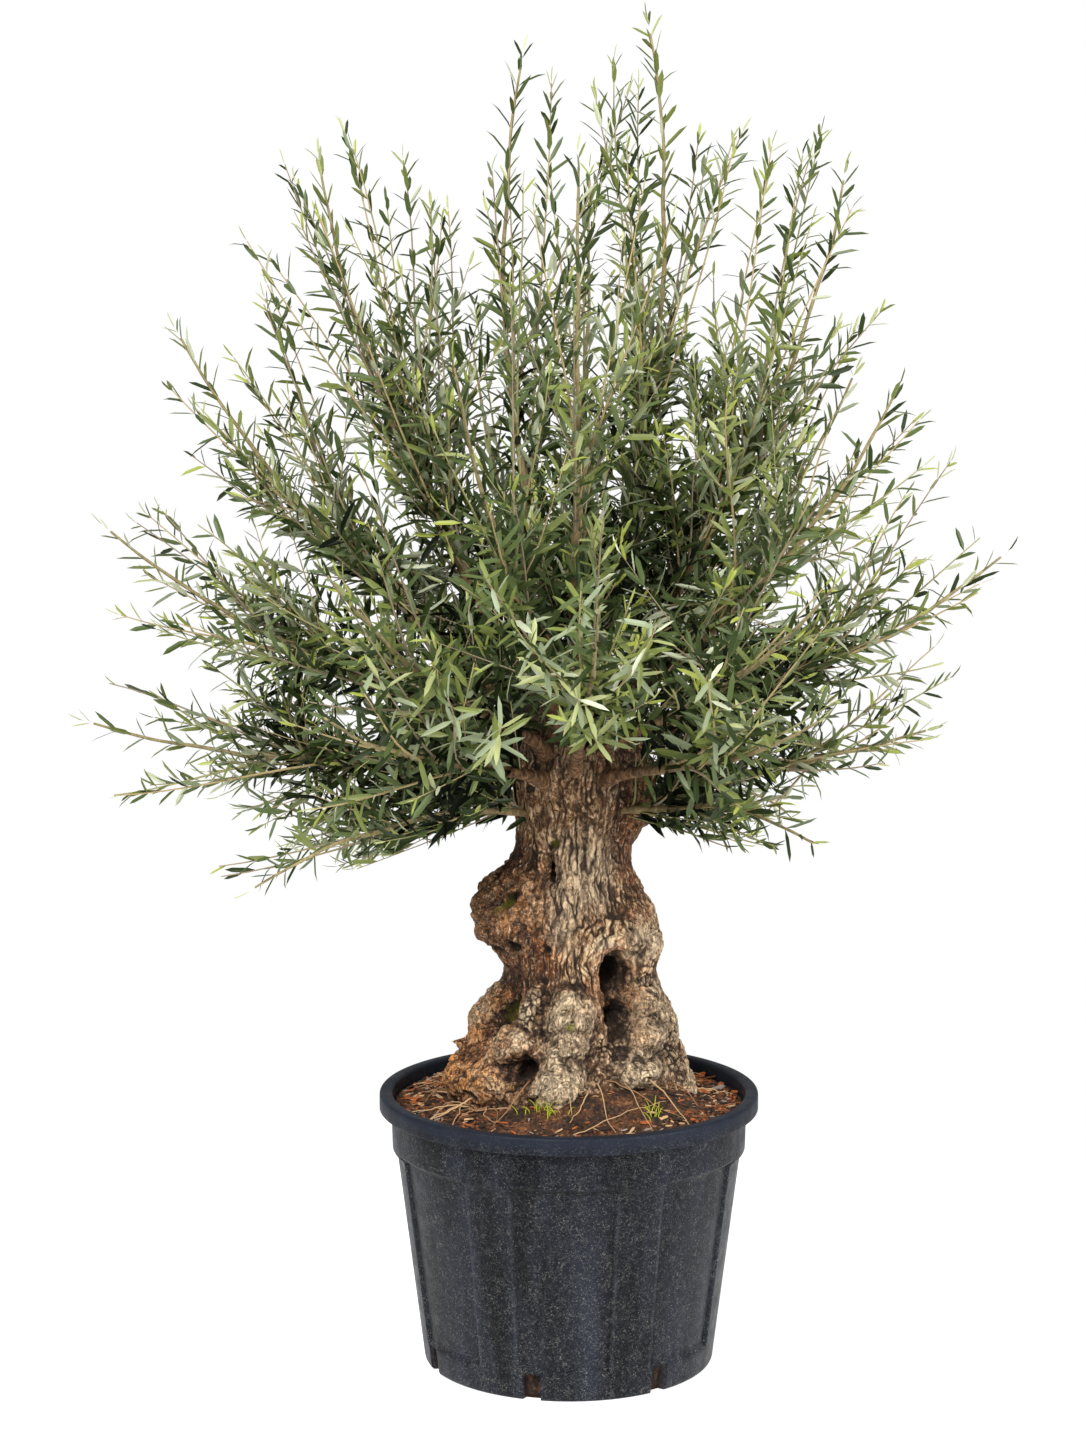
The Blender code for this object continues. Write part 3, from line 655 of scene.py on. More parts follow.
def grooves(bearing, height, column):
    # round each chosen burl g e^-((d - 1.5)/0.3)^2, d being sqrt(u^2 + v^2), the scaled distance from it
    depth = np.zeros_like(height)
    for name, groove in trunk["grooved"].items():
        middle, level, _, *size = trunk["burls"][name]
        distance = np.hypot(*fromPlace(bearing, height, column, (middle, level, *size)))
        depth = np.maximum(depth, groove * np.exp(-(((distance - 1.5) / 0.3) ** 2)))
    return depth


def trunkSkin():
    # the trunk's grid of points, its normals, and what the bark's finish needs to know at each point
    n, rows = trunk["around"], trunk["rows"]
    bearing = np.linspace(0, 360, n, endpoint=False)[None, :].repeat(rows, 0)
    height = np.linspace(-trunk["sink"], trunk["height"], rows)[:, None].repeat(n, 1)
    top = softStep(trunk["height"] - height, 0.0, 0.05)
    plain = trunkPoint(bearing, height, trunkRadius(bearing, np.maximum(height, 0)))
    # the forms are read a few millimetres to one side, so that none is a plain oval
    drift = noiseVector(plain, 30, 91) + 0.5 * noiseVector(plain, 75, 95)
    drift = drift * (trunk["drift"] * top)[..., None]
    aside = bearing + np.degrees(drift[..., 0] / 0.13)
    level = np.maximum(height + drift[..., 2], 0)
    radius = trunkRadius(aside, level)
    groove = grooves(aside, level, radius)
    radius = radius - groove * top
    base = trunkPoint(bearing, height, radius)
    normal = gridNormals(base)
    # how knobbly a place is: all of the foot and the burls, little of the upper trunk
    burl = spots(bearing, height, radius, trunk["gnarled"])
    knobbly = np.clip(np.maximum(1.10 - height / 0.26, burl * 0.8), 0.06, 1)
    wander, waver = noiseVector(base, 26, 11), noiseVector(base, 90, 21)

    def forms(kind):
        far, close, count, seed = trunk[kind]
        return cellNoise(base + far * wander + close * waver, count, seed)

    near, second = forms("lumps")
    patch = softStep(smoothNoise(base, 13, 45), -0.30, 0.40)
    lumps = (0.55 - near * near - 0.35 * (1 - softStep(second - near, 0.0, 0.16))) * (0.35 + 0.65 * patch)
    line = {}
    for kind, (far, close, squeeze, *drawn) in trunk["creases"].items():
        line[kind] = creases((base + far * wander + close * waver) * np.array([1, 1, squeeze]), *drawn)
    # here and there a place of pebbles
    near, second = forms("pebbles")
    pebbles = 1 - softStep(second - near, 0.02, 0.26)
    pebbled = spots(bearing, height, radius, trunk["pebbled"]) + 0.25 * smoothNoise(base, 40, 48)
    pebbled = softStep(pebbled, 0.35, 0.65)
    rough = np.clip(knobbly * 1.3 - 0.25, 0, 1)
    cracks = np.maximum(line["furrows"], 0.6 * line["branches"]) * (1 - rough)
    cracks = cracks + np.maximum(line["wrinkles"], 0.65 * line["finer"]) * rough
    cracks = np.clip(cracks * (0.75 + 0.6 * smoothNoise(base, 22, 57)), 0, 1)
    cracks = cracks * (1 - pebbled) + pebbles * pebbled
    depth = trunk["knob"] * lumps * knobbly
    depth = depth + trunk["swell"] * smoothNoise(base, 34, 51) + trunk["ripple"] * smoothNoise(base, 85, 53)
    depth -= trunk["crack"] * cracks
    depth += trunk["grit"] * layeredNoise(base * np.array([1, 1, 0.6]), 260, 2, 61)
    # round each knot's hole, a mask for its painted shade
    dark = np.zeros_like(depth)
    wobble = 1 + 0.35 * smoothNoise(base, 70, 71)
    for middle, place, hole, size, ring in trunk["knots"].values():
        across = turnFrom(bearing, middle) * radius
        distance = np.sqrt(across**2 + ((height - place) * 0.85) ** 2) / (size * wobble)
        depth += ring * np.exp(-((distance - 1.9) ** 2) * 1.6) - hole * np.exp(-distance**2 * 0.9)
        dark = np.maximum(dark, np.exp(-distance**2 * 0.7))
    depth *= top
    points = base + normal * depth[..., None]
    points[0, :, 2] = trunk["foot"] - trunk["sink"]
    # how far a place lies inside its surroundings, close by and further round
    flat = radius + depth
    close = blurred(flat, (1, 2))
    wide = blurred(close, (4, 8, 14))
    sunk = 0.35 * np.clip((close - flat) / 0.0016, -1, 1) + 0.75 * np.clip((wide - flat) / 0.011, -1, 1)
    # cavity carries the bark's painted shade in sunken places and its painted highlight on raised ones; hole
    # carries the painted shade in the knots' holes
    values = {"cavity": sunk, "crack": np.maximum(cracks, groove / 0.026), "hole": dark, "rough": rough}
    # the deep hollows, for their painted shade
    hollows = [(b, h, w, t) for b, h, deep, w, t in trunk["burls"].values() if deep < -0.04]
    values["hollow"] = spots(aside, level, radius, hollows)
    for tint, places in trunk["tints"].items():
        values[tint] = spots(bearing, height, radius, places)
    return points, normal, values


def buildTrunk():
    # two pieces that meet at a seam; past it each one's last rows tuck in under the other
    points, normal, values = trunkSkin()
    rows, seam, finish = trunk["rows"], trunk["rows"] // 2, barkFinish()
    for name, low, high in (("trunkFoot", 0, seam + 3), ("trunkColumn", seam - 2, rows)):
        past = np.arange(low, high) - seam
        past = np.maximum(past if low == 0 else -past, 0)
        grid = points[low:high] - normal[low:high] * (trunk["tuck"] * past**2)[:, None, None]
        first = [*trunk["axis"], grid[0, :, 2].mean()]
        last = [*trunk["axis"], grid[-1, :, 2].mean() + 0.001]
        skin, faces = cappedGrid(grid, first, last)
        own = withPoles({label: v[low:high] for label, v in values.items()})
        piece = addMesh(name, skin, faces, [finish], values=own)
        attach(piece, "root")
        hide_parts("trunk")


def barkFinish():
    m = NodeMaterial("oldOliveBark", 0.9)
    mottle = m.noise(70.0, 5.0, 0.7, None, 0.6)
    tall = m.noise(105.0, 4.0, 0.62, m.warped(m.stretched((1.0, 1.0, 0.17)), 55.0, 0.012), 0.3)
    curly = m.noise(120.0, 4.0, 0.62, m.warped(m.stretched((1.0, 1.0, 0.7)), 40.0, 0.020), 0.3)
    grain = m.mix(m.attribute("rough"), tall, curly)
    lines = m.middleOf(grain)
    fine = m.noise(420.0, 4.0, 0.7)
    pepper = m.noise(190.0, 5.0, 0.75, m.stretched((1.0, 1.0, 0.7)), 0.8)
    ragged = m.times(m.math("SUBTRACT", m.noise(42.0, 5.0, 0.7), 0.5), 1.6)
    # raised places, for a painted highlight, and sunken ones, for painted shade
    proud = m.plus(m.times(m.attribute("cavity"), -1.0), m.times(ragged, 0.5))

    def uneven(source, stops, mottled):
        return m.times(m.ramp(source, stops), m.ramp(mottle, mottled))

    # a greyed and a warm brown, the knobs' pale skin, painted shade in sunken places and a painted highlight
    # on raised ones, the tints in their places, lines, specks, and painted shade in the hollows and holes
    grey = m.ramp(grain, [(0.34, (112, 76, 42)), (0.50, (180, 140, 94)), (0.66, (240, 210, 168))])
    warm = m.ramp(mottle, [(0.30, (104, 62, 29)), (0.52, (178, 128, 78)), (0.72, (242, 206, 158))])
    colour = m.mix(m.ramp(m.noise(14.0, 4.0, 0.6), [(0.38, 0.20), (0.62, 0.80)]), grey, warm)
    colour = m.layered(colour, [
        (m.times(m.attribute("rough"), m.ramp(mottle, [(0.36, 0.0), (0.62, 0.75)])), (252, 224, 188)),
        # painted shade in sunken places
        (m.ramp(proud, [(0.0, 0.75), (0.05, 0.0)]), (112, 68, 30)),
        # painted highlight on raised places
        (m.ramp(proud, [(0.05, 0.0), (0.75, 0.90)]), (250, 226, 192)),
        (m.tinted("brown", ragged, 0.95), (236, 176, 106), "MULTIPLY"),
        # paler bark, and on the right foot a painted highlight
        (m.tinted("pale", ragged, 0.70), (240, 218, 186)),
        (m.tinted("shade", ragged, 0.75), (96, 60, 26)),
        (m.ramp(m.noise(24.0, 4.0, 0.65), [(0.56, 0.0), (0.74, 0.50)]), (146, 88, 40)),
        (m.tinted("rust", ragged, 0.50), (172, 108, 58)),
        (uneven(lines, [(0.006, 0.95), (0.052, 0.0)], [(0.38, 1.0), (0.62, 0.20)]), (52, 31, 15)),
        (uneven(pepper, [(0.38, 0.85), (0.46, 0.0)], [(0.40, 1.0), (0.60, 0.45)]), (50, 29, 13)),
        (uneven(pepper, [(0.52, 0.0), (0.62, 0.85)], [(0.40, 0.35), (0.60, 1.0)]), (255, 232, 202)),
        (m.level("crack", 0.22, 0.80, 0.92), (42, 24, 9)),
        # more painted shade in sunken places
        (m.level("cavity", 0.14, 0.90, 0.86), (44, 26, 11)),
        # painted shade in the hollows and in the knots' holes
        (m.level("hollow", 0.45, 0.92, 0.50), (46, 26, 10)),
        (m.level("hole", 0.45, 0.92, 0.90), (16, 10, 5)),
        (m.tinted("moss", ragged, 0.70), (140, 140, 36)),
        (0.6, (255, 246, 230), "MULTIPLY"),
    ])
    height = m.plus(m.times(grain, 0.9), m.times(fine, 0.5))
    m.bump(m.plus(height, m.ramp(lines, [(0.0, 0.0), (0.05, 0.6)])), 1.0, 0.0050)
    return m.finish(colour)


buildTrunk()
print("trunk made")


crown = {
    "hub": Vector((0.022, 0.0, 0.985)),
    "elevations": (-40, -22, -6, 7, 22, 42, 56, 68, 78, 85, 90),
    "leftReach": (0.42, 0.56, 0.76, 0.79, 0.81, 0.89, 0.94, 1.01, 0.95, 1.07, 1.11),
    "rightReach": (0.33, 0.38, 0.47, 0.58, 0.72, 0.76, 0.86, 1.00, 0.98, 1.12, 1.115),
    # elevation, count, first bearing, step, the foot's height and distance out, rise, radius, bare share
    "rings": {
        "skirt": (-20, 5, 216, -63, 0.450, 0.035, 12, 0.011, 0.0),
        "low": (3, 6, 180, 60, 0.490, 0.045, 40, 0.017, 0.30),
        "front": (14, 1, 271, 0, 0.505, 0.045, 42, 0.014, 0.27),
        "middle": (25, 6, 0, 60, 0.530, 0.045, 42, 0.016, 0.27),
        "upper": (46, 5, 180, 72, 0.566, 0.060, 62, 0.014, 0.24),
        "high": (66, 4, 178, 90, 0.565, 0.040, 74, 0.015, 0.22),
        "top": (85, 2, 10, 180, 0.570, 0.016, 88, 0.014, 0.22),
    },
    "rightBough": {"foot": 0.400, "off": 0.050, "rise": 58, "radius": 0.034, "bare": 0.42, "reach": 0.25},
    "footReach": 0.16, "lift": 12.0, "frontLift": 9.0, "joinRadius": 0.0085, "tipRadius": 0.0016,
    "flare": 0.010, "flareReach": 0.10, "flareFull": 0.017, "wander": 0.010, "limbSteps": 72, "limbSides": 18,
    "seed": 41, "headHalf": 0.106, "headTop": 0.020,
    # the crown's edge seen from the front, by angle at the hub: below it the trunk stands free
    "edgeAngles": (-90, -55, -45, -38, -31, -28, -21, -15, -7, -3, 2, 7, 22, 42, 56, 68, 78, 85, 90),
    "leftEdge": (
        0.02, 0.06, 0.17, 0.21, 0.30, 0.46, 0.60, 0.60, 0.73, 0.73,
        0.76, 0.80, 0.84, 0.92, 0.98, 1.05, 0.98, 1.10, 1.13,
    ),
    "rightEdge": (
        0.02, 0.08, 0.18, 0.26, 0.34, 0.38, 0.38, 0.38, 0.42, 0.50,
        0.60, 0.62, 0.74, 0.80, 0.90, 1.04, 1.02, 1.14, 1.13,
    ),
    # the longest shoots: x and height of their tips
    "longTips": (
        (-0.757, 1.090), (-0.714, 1.348), (-0.638, 1.578), (-0.489, 1.776), (-0.434, 1.889), (-0.342, 1.942),
        (-0.198, 1.852), (-0.099, 1.904), (-0.030, 2.046), (-0.483, 0.800), (-0.363, 0.800), (-0.707, 0.905),
        (-0.652, 1.200), (0.068, 2.075), (0.110, 2.046), (0.251, 1.934), (0.320, 1.904), (0.381, 1.934),
        (0.498, 1.700), (0.571, 1.517), (0.542, 1.409), (0.543, 1.309), (0.681, 1.250), (0.584, 1.011),
        (0.471, 0.950), (0.325, 0.850), (0.284, 0.808), (-0.560, 1.470), (-0.270, 1.760), (0.205, 1.960),
        (-0.690, 1.030), (0.620, 1.110), (-0.300, 0.865), (-0.420, 0.842), (-0.560, 0.872), (0.200, 0.890),
        (0.385, 0.875), (0.440, 0.985), (-0.205, 0.935), (0.165, 0.935), (-0.150, 0.980), (0.135, 0.975),
        (-0.700, 1.270), (-0.620, 1.460), (-0.600, 1.360), (-0.580, 1.240), (-0.600, 1.130), (-0.540, 1.620),
        (0.560, 1.200), (-0.165, 0.930), (-0.215, 0.905), (0.150, 0.912), (0.195, 0.885), (-0.270, 1.930),
        (-0.290, 1.860), (-0.223, 1.856), (-0.136, 1.860), (-0.507, 1.800), (-0.459, 1.920), (-0.400, 1.840),
        (-0.350, 1.820), (-0.364, 1.975), (0.313, 1.945), (0.400, 1.970), (0.274, 1.970), (0.440, 1.850),
        (0.170, 1.450), (0.200, 1.620), (0.150, 1.560), (0.235, 1.750), (0.210, 1.500), (0.260, 1.640),
        (0.120, 1.700),
    ),
    # shoots that come forward, seen end on as stars of leaves: x, y and height of their tips
    "frontTips": (
        (-0.185, -0.62, 1.150), (0.010, -0.66, 1.310), (0.005, -0.62, 1.150), (0.200, -0.60, 1.175),
        (0.035, -0.58, 1.080), (-0.060, -0.65, 1.230), (0.120, -0.64, 1.260), (-0.130, -0.64, 1.330),
        (0.090, -0.56, 1.075), (-0.300, -0.58, 1.190), (0.290, -0.52, 1.100), (-0.110, -0.60, 1.105),
    ),
}


def bearingVector(bearing, elevation):
    a, e = math.radians(bearing), math.radians(elevation)
    return Vector((math.cos(a) * math.cos(e), math.sin(a) * math.cos(e), math.sin(e)))


def crownReachOf(directions):
    # reach by elevation on the left and on the right, mixed by how far right each unit direction points
    d = np.asarray(directions)
    elevation = np.degrees(np.arcsin(np.clip(d[..., 2], -1, 1)))
    right = 0.5 + 0.5 * d[..., 0] / np.maximum(np.hypot(d[..., 0], d[..., 1]), 1e-6)
    left = np.interp(elevation, crown["elevations"], crown["leftReach"])
    return left * (1 - right) + np.interp(elevation, crown["elevations"], crown["rightReach"]) * right


def crownDepth(points):
    # 0 at the hub, 1 at the crown's reach
    away = points - np.array(crown["hub"])
    return np.linalg.norm(away, axis=-1) / crownReachOf(unit(away))


def crownReach(direction):
    return float(crownReachOf(np.array(direction)))


def insideEdge(points, share):
    # points seen from the studio's eye on the plane y = 0, compared with the crown's edge at their angle
    p = np.asarray(points)
    eye, hub = studio["cameraPlace"], crown["hub"]
    s = -eye[1] / (p[..., 1] - eye[1])
    dx, dz = (eye[i] + (p[..., i] - eye[i]) * s - hub[i] for i in (0, 2))
    angle = np.degrees(np.arctan2(dz, np.abs(dx)))
    left, right = (np.interp(angle, crown["edgeAngles"], crown[edge]) for edge in ("leftEdge", "rightEdge"))
    # in front of the trunk's head nothing hangs
    bare = (np.abs(dx) < crown["headHalf"]) & (dz < crown["headTop"]) & (p[..., 1] < 0)
    return (np.hypot(dx, dz) < np.where(dx > 0, right, left) * share) & ~bare


def listLimbs():
    limbs = []
    for ring, (elevation, count, first, step, foot, off, rise, radius, bare) in crown["rings"].items():
        for i in range(count):
            bearing = first + step * i
            towardsFront = max(0.0, -math.sin(math.radians(bearing))) if elevation < 20 else 0.0
            tipElevation = elevation + crown["frontLift"] * towardsFront
            direction = bearingVector(bearing, tipElevation)
            reach = crownReach(direction)
            limb = {
                "ring": ring, "number": i + 1, "direction": direction, "foot": foot, "off": off, "rise": rise,
                "radius": radius, "bare": bare, "reach": crown["footReach"],
            }
            if (ring, i) == ("low", 3):
                limb |= crown["rightBough"]
            start = Vector((*trunk["axis"], trunk["foot"] + limb["foot"]))
            start += limb["off"] * bearingVector(bearing, 0)
            bend = crown["lift"] * max(-1.0, min(1.0, (tipElevation + 8) / 12))
            limb["curve"] = np.array([
                start,
                start + limb["reach"] * reach * bearingVector(bearing, limb["rise"]),
                crown["hub"] + 0.60 * reach * bearingVector(bearing, tipElevation - bend),
                crown["hub"] + reach * direction,
            ])
            limbs.append(limb)
    return limbs


def bezier(curves, t):
    # (1-t)^3 a + 3t(1-t)^2 b + 3t^2(1-t) c + t^3 d for curves (..., 4, 3) and places t (..., m)
    a, b, c, d = np.moveaxis(np.asarray(curves)[..., None, :, :], -2, 0)
    t = np.asarray(t)[..., None]
    s = 1 - t
    return s**3 * a + 3 * s * s * t * b + 3 * s * t * t * c + t**3 * d


def heading(curves, t):
    # the curve's direction, (1-t)^2 (b-a) + 2t(1-t) (c-b) + t^2 (d-c), of length one
    first, second, third = np.moveaxis(np.diff(np.asarray(curves)[..., None, :, :], axis=-2), -2, 0)
    t = np.asarray(t)[..., None]
    s = 1 - t
    return unit(first * s * s + second * 2 * s * t + third * t * t)


def leaving(curve, t):
    # a place on a curve and the curve's direction there
    return bezier(curve, [t])[0], heading(curve, [t])[0]


def squareTo(along, v):
    # the part of v square to a direction of length one, made as long as that
    return unit(v - np.sum(v * along, -1, keepdims=True) * along)


def tubes(paths, radii, sides):
    # tubes (n, m, 3) with radii (n, m): rings r(cos a . u + sin a . v) square to each path, and two poles
    n, m = paths.shape[:2]
    tangent = unit(np.gradient(paths, axis=1))
    chord = unit(paths[:, -1] - paths[:, 0])
    helper = np.where(np.abs(chord[:, 2:3]) < 0.8, np.array([[0.0, 0.0, 1.0]]), np.array([[1.0, 0.0, 0.0]]))
    u = squareTo(tangent, unit(np.cross(chord, helper))[:, None, :])
    v = np.cross(tangent, u)
    a = turns(sides)[:, None]
    ring = np.cos(a) * u[:, :, None] + np.sin(a) * v[:, :, None]
    skin = paths[:, :, None] + radii[:, :, None, None] * ring
    points = np.concatenate([skin.reshape(n, m * sides, 3), paths[:, [0, -1]]], axis=1)
    shift = (np.arange(n) * points.shape[1])[:, None, None]
    return points, gridFaces(m, sides) + shift, np.concatenate(endFans(m, sides)) + shift, ring


def tubeMesh(name, paths, radii, sides, materials, tone):
    # one tube a path, in the material its tone picks
    points, quads, tris, _ = tubes(paths, radii, sides)
    slots = np.concatenate([np.repeat(tone, faces.shape[1]) for faces in (quads, tris)])
    return addMesh(name, points, [quads, tris], materials, slots)


limbs = listLimbs()


def limbRadius(limb, t):
    # thins quickly along the bare bough, then slowly to the tip; a flare where it leaves the trunk
    radius, bare, join, tip = limb["radius"], limb["bare"], crown["joinRadius"], crown["tipRadius"]
    share = min(1.0, (radius / crown["flareFull"]) ** 2)
    flare = crown["flare"] * share * np.exp(-((t / crown["flareReach"]) ** 2))
    if not bare:
        return 0.7 * radius + (tip - 0.7 * radius) * t**0.8 + flare
    first = radius + (join - radius) * np.clip(t / bare, 0, 1)
    second = join + (tip - join) * np.clip((t - bare) / (1 - bare), 0, 1) ** 0.8
    return np.where(t < bare, first, second) + flare


def buildLimbs():
    count, steps, sides = len(limbs), crown["limbSteps"], crown["limbSides"]
    t = np.linspace(0, 0.985, steps)
    paths = np.array([bezier(limb["curve"], t) for limb in limbs])
    radii = np.array([limbRadius(limb, t) for limb in limbs])
    # old wood wanders a little
    paths = paths + noiseVector(paths, 9, 81) * (crown["wander"] * np.sin(np.pi * t) ** 0.7)[None, :, None]
    points, quads, tris, ring = tubes(paths, radii, sides)
    skin = points[:, :-2].reshape(count, steps, sides, 3)
    knots = smoothNoise(skin, 40, 85) * 0.22 + smoothNoise(skin * np.array([1, 1, 0.5]), 110, 86) * 0.20
    skin = skin + ring * (knots * radii[:, :, None])[..., None]
    points[:, :-2] = skin.reshape(count, -1, 3)
    thick, crack = np.zeros((2, count, steps * sides + 2))
    thick[:, :-2] = np.repeat(radii, sides, 1)
    crack[:, :-2] = np.clip(-knots * 3, 0, 1).reshape(count, -1)
    return addMesh("limbBark", points, [quads, tris], [limbFinish()], values={"thick": thick, "crack": crack})


def limbFinish():
    m = NodeMaterial("limbBarkFinish", 0.85)
    fibre = m.noise(130.0, 5.0, 0.7, m.stretched((1.0, 1.0, 0.4)), 0.6)
    old = m.ramp(fibre, [(0.36, (38, 22, 10)), (0.50, (98, 66, 36)), (0.66, (158, 122, 84))])
    young = m.ramp(fibre, [(0.30, (132, 120, 80)), (0.70, (176, 164, 118))])
    colour = m.mix(m.level("thick", 0.0026, 0.0075, 1.0), young, old)
    colour = m.mix(m.level("crack", 0.2, 0.9, 0.6), colour, (58, 44, 30))
    m.bump(fibre, 0.9, 0.0030)
    return m.finish(colour)


limbBark = buildLimbs()
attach(limbBark, "root")
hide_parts(*[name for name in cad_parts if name.startswith("bough_")])
print("limbs made")


foliage = {
    "sourceShoots": 4, "sourceSpread": 15.0, "sourceReach": (0.86, 0.98), "companions": 1,
    "companionReach": (0.80, 0.94), "companionSpread": 0.035, "tipShort": 0.040,
    "moreShoots": 520, "moreReach": (0.26, 0.90), "lowestSine": -0.47, "goldenTurn": 2.39996,
    "gapScale": 3.4, "gapBelow": -0.15, "gapReach": 0.60,
    "twigsPerShoot": 2, "twigLength": (0.10, 0.26), "twigReach": 0.80,
    # radius at the foot and at the tip, sides, steps
    "longShoots": (0.0027, 0.0009, 5, 12), "shortTwigs": (0.0015, 0.0007, 3, 6),
    "leafLength": (0.038, 0.059), "leafWidth": 0.172, "leafThickness": 0.0007, "endLeaf": 0.030,
    "leafCurl": 0.13, "leafFold": (0.15, 0.5), "leafSeed": 301, "pieceSeed": 400, "twigSeed": 5,
    # a leaf's two cross-sections: how far along it, share of the full width
    "leafSections": ((0.28, 0.90), (0.76, 0.84)),
    "pairSpacing": 0.0200, "pairTurn": 1.45, "kept": 0.93, "leafAngle": 45, "angleSpread": 14,
    "starOpening": 30, "thinned": 0.30, "hangFrom": 0.05,
    # the rings of limbs whose leaves go into one pair of pieces
    "groups": {
        "Low": ("skirt", "low"), "Middle": ("front", "middle"), "Upper": ("upper",), "High": ("high", "top"),
    },
}


def spreadPoint(k):
    return math.sqrt((0.35 + 0.7549 * k) % 1.0), 2 * math.pi * ((0.15 + 0.5698 * k) % 1.0)


def sourceShoot(limb, index, k):
    # a limb's side shoots, by the rule and the draws of the part's own source
    rng = np.random.default_rng([crown["seed"], index, k])
    spread, turn = spreadPoint(k)
    axis = limb["direction"]
    side = axis.orthogonal().normalized()
    side.rotate(Matrix.Rotation(turn, 3, axis))
    direction = axis.copy()
    direction.rotate(Matrix.Rotation(math.radians(foliage["sourceSpread"] * spread), 3, side))
    tip = crown["hub"] + direction * crownReach(direction) * rng.uniform(*foliage["sourceReach"])
    leave = max(limb["bare"] + 0.06, 0.16) + 0.36 * (1 - spread) + rng.uniform(0, 0.12)
    start, along = map(Vector, leaving(limb["curve"], leave))
    length = (tip - start).length
    third = start.lerp(tip, 0.66) - Vector((0, 0, 0.03 * length))
    return np.array([start, start + 0.30 * length * along, third, tip])


def shootTo(tip, limb, rng, leave, sag):
    # a shoot that leaves its limb along it and ends at the tip
    start, along = leaving(limb["curve"], leave)
    length = np.linalg.norm(tip - start)
    bow = rng.normal(0, 0.025, 3) * length
    third = start + (tip - start) * 0.64 + bow - np.array([0, 0, sag * length])
    return np.array([start, start + 0.28 * length * along, third, tip])


def nearestLimb(direction):
    return int(np.argmax([np.dot(direction, np.array(limb["direction"])) for limb in limbs]))


def strandOf(curve, mass, first, leader=False, star=0.0):
    # a curve with leaves: its mass, the share of it below its first leaves, if it is a limb, if a star
    return {"curve": curve, "mass": mass, "first": first, "leader": leader, "star": star}


def limbShoots():
    # the limbs and their side shoots, as far as these stay inside the crown's edge
    found = []
    for index, limb in enumerate(limbs):
        low = limb["ring"] in ("skirt", "low", "front")
        found.append(strandOf(limb["curve"], index, 0.06 if low else limb["bare"] + 0.12, leader=True))
        for k in range(foliage["sourceShoots"]):
            curve = sourceShoot(limb, index, k)
            if insideEdge(bezier(curve, [0.5, 0.8, 1.0]), 1.02).all():
                found.append(strandOf(curve, index, 0.18))
    return found


def edgeShoots():
    # the longest shoots, each with a shorter companion but for the top ones, then the stars
    hub = np.array(crown["hub"])
    found = []
    tips = [np.array([x, 0.10 * math.sin(2.4 * k), z]) for k, (x, z) in enumerate(crown["longTips"])]
    stars = [np.array(tip) for tip in crown["frontTips"]]
    for k, tip in enumerate(tips + stars):
        rng = np.random.default_rng([crown["seed"], 5000, k])
        isStar = k >= len(tips)
        for companion in range(1 if isStar or tip[2] > 1.8 else 1 + foliage["companions"]):
            shrink = 1 - foliage["tipShort"] / np.linalg.norm(tip - hub)
            if companion:
                shrink *= rng.uniform(*foliage["companionReach"])
            aside = rng.normal(0, foliage["companionSpread"], 3) if companion else 0
            end = hub + (tip - hub) * shrink + aside
            mass = nearestLimb(unit(end - hub))
            leave = limbs[mass]["bare"] + rng.uniform(0.08, 0.30)
            curve = shootTo(end, limbs[mass], rng, leave, 0.01)
            if companion == 0 or insideEdge(bezier(curve, [0.5, 0.8, 1.0]), 0.99).all():
                found.append(strandOf(curve, mass, 0.12, star=float(isStar)))
    return found


def spreadShoots():
    # the rest, spread evenly over all directions, each from the limb that points nearest to it
    hub = np.array(crown["hub"])
    found = []
    low, count = foliage["lowestSine"], foliage["moreShoots"]
    shortest, longest = foliage["moreReach"]
    for k in range(count):
        rng = np.random.default_rng([crown["seed"], 6000, k])
        sine = low + (1 - low) * (k + 0.5) / count
        turn = k * foliage["goldenTurn"] + rng.normal(0, 0.05)
        cosine = math.sqrt(1 - sine * sine)
        direction = np.array([cosine * math.cos(turn), cosine * math.sin(turn), sine])
        mass = nearestLimb(direction)
        share = shortest + (longest - shortest) * rng.uniform(0, 1) ** 1.7
        # as many as the crown's side has room for, fewer upwards
        room = (crownReachOf(direction) / 0.95) ** 2
        room *= (0.45 if share > 0.66 else 1.0) if sine < 0.45 else (0.06 if share > 0.50 else 0.85)
        if rng.uniform() > room:
            continue
        inGap = smoothNoise(direction[None], foliage["gapScale"], 211)[0] < foliage["gapBelow"]
        if inGap and share > foliage["gapReach"]:
            continue
        reach = crownReachOf(direction) * share
        leave = limbs[mass]["bare"] * 0.8 + 0.02 + 0.42 * rng.uniform(0, 1) ** 1.3
        curve = shootTo(hub + direction * reach, limbs[mass], rng, leave, rng.uniform(-0.03, 0.05))
        if insideEdge(bezier(curve, [0.45, 0.7, 0.85, 1.0]), 0.98).all():
            found.append(strandOf(curve, mass, 0.20))
    return found


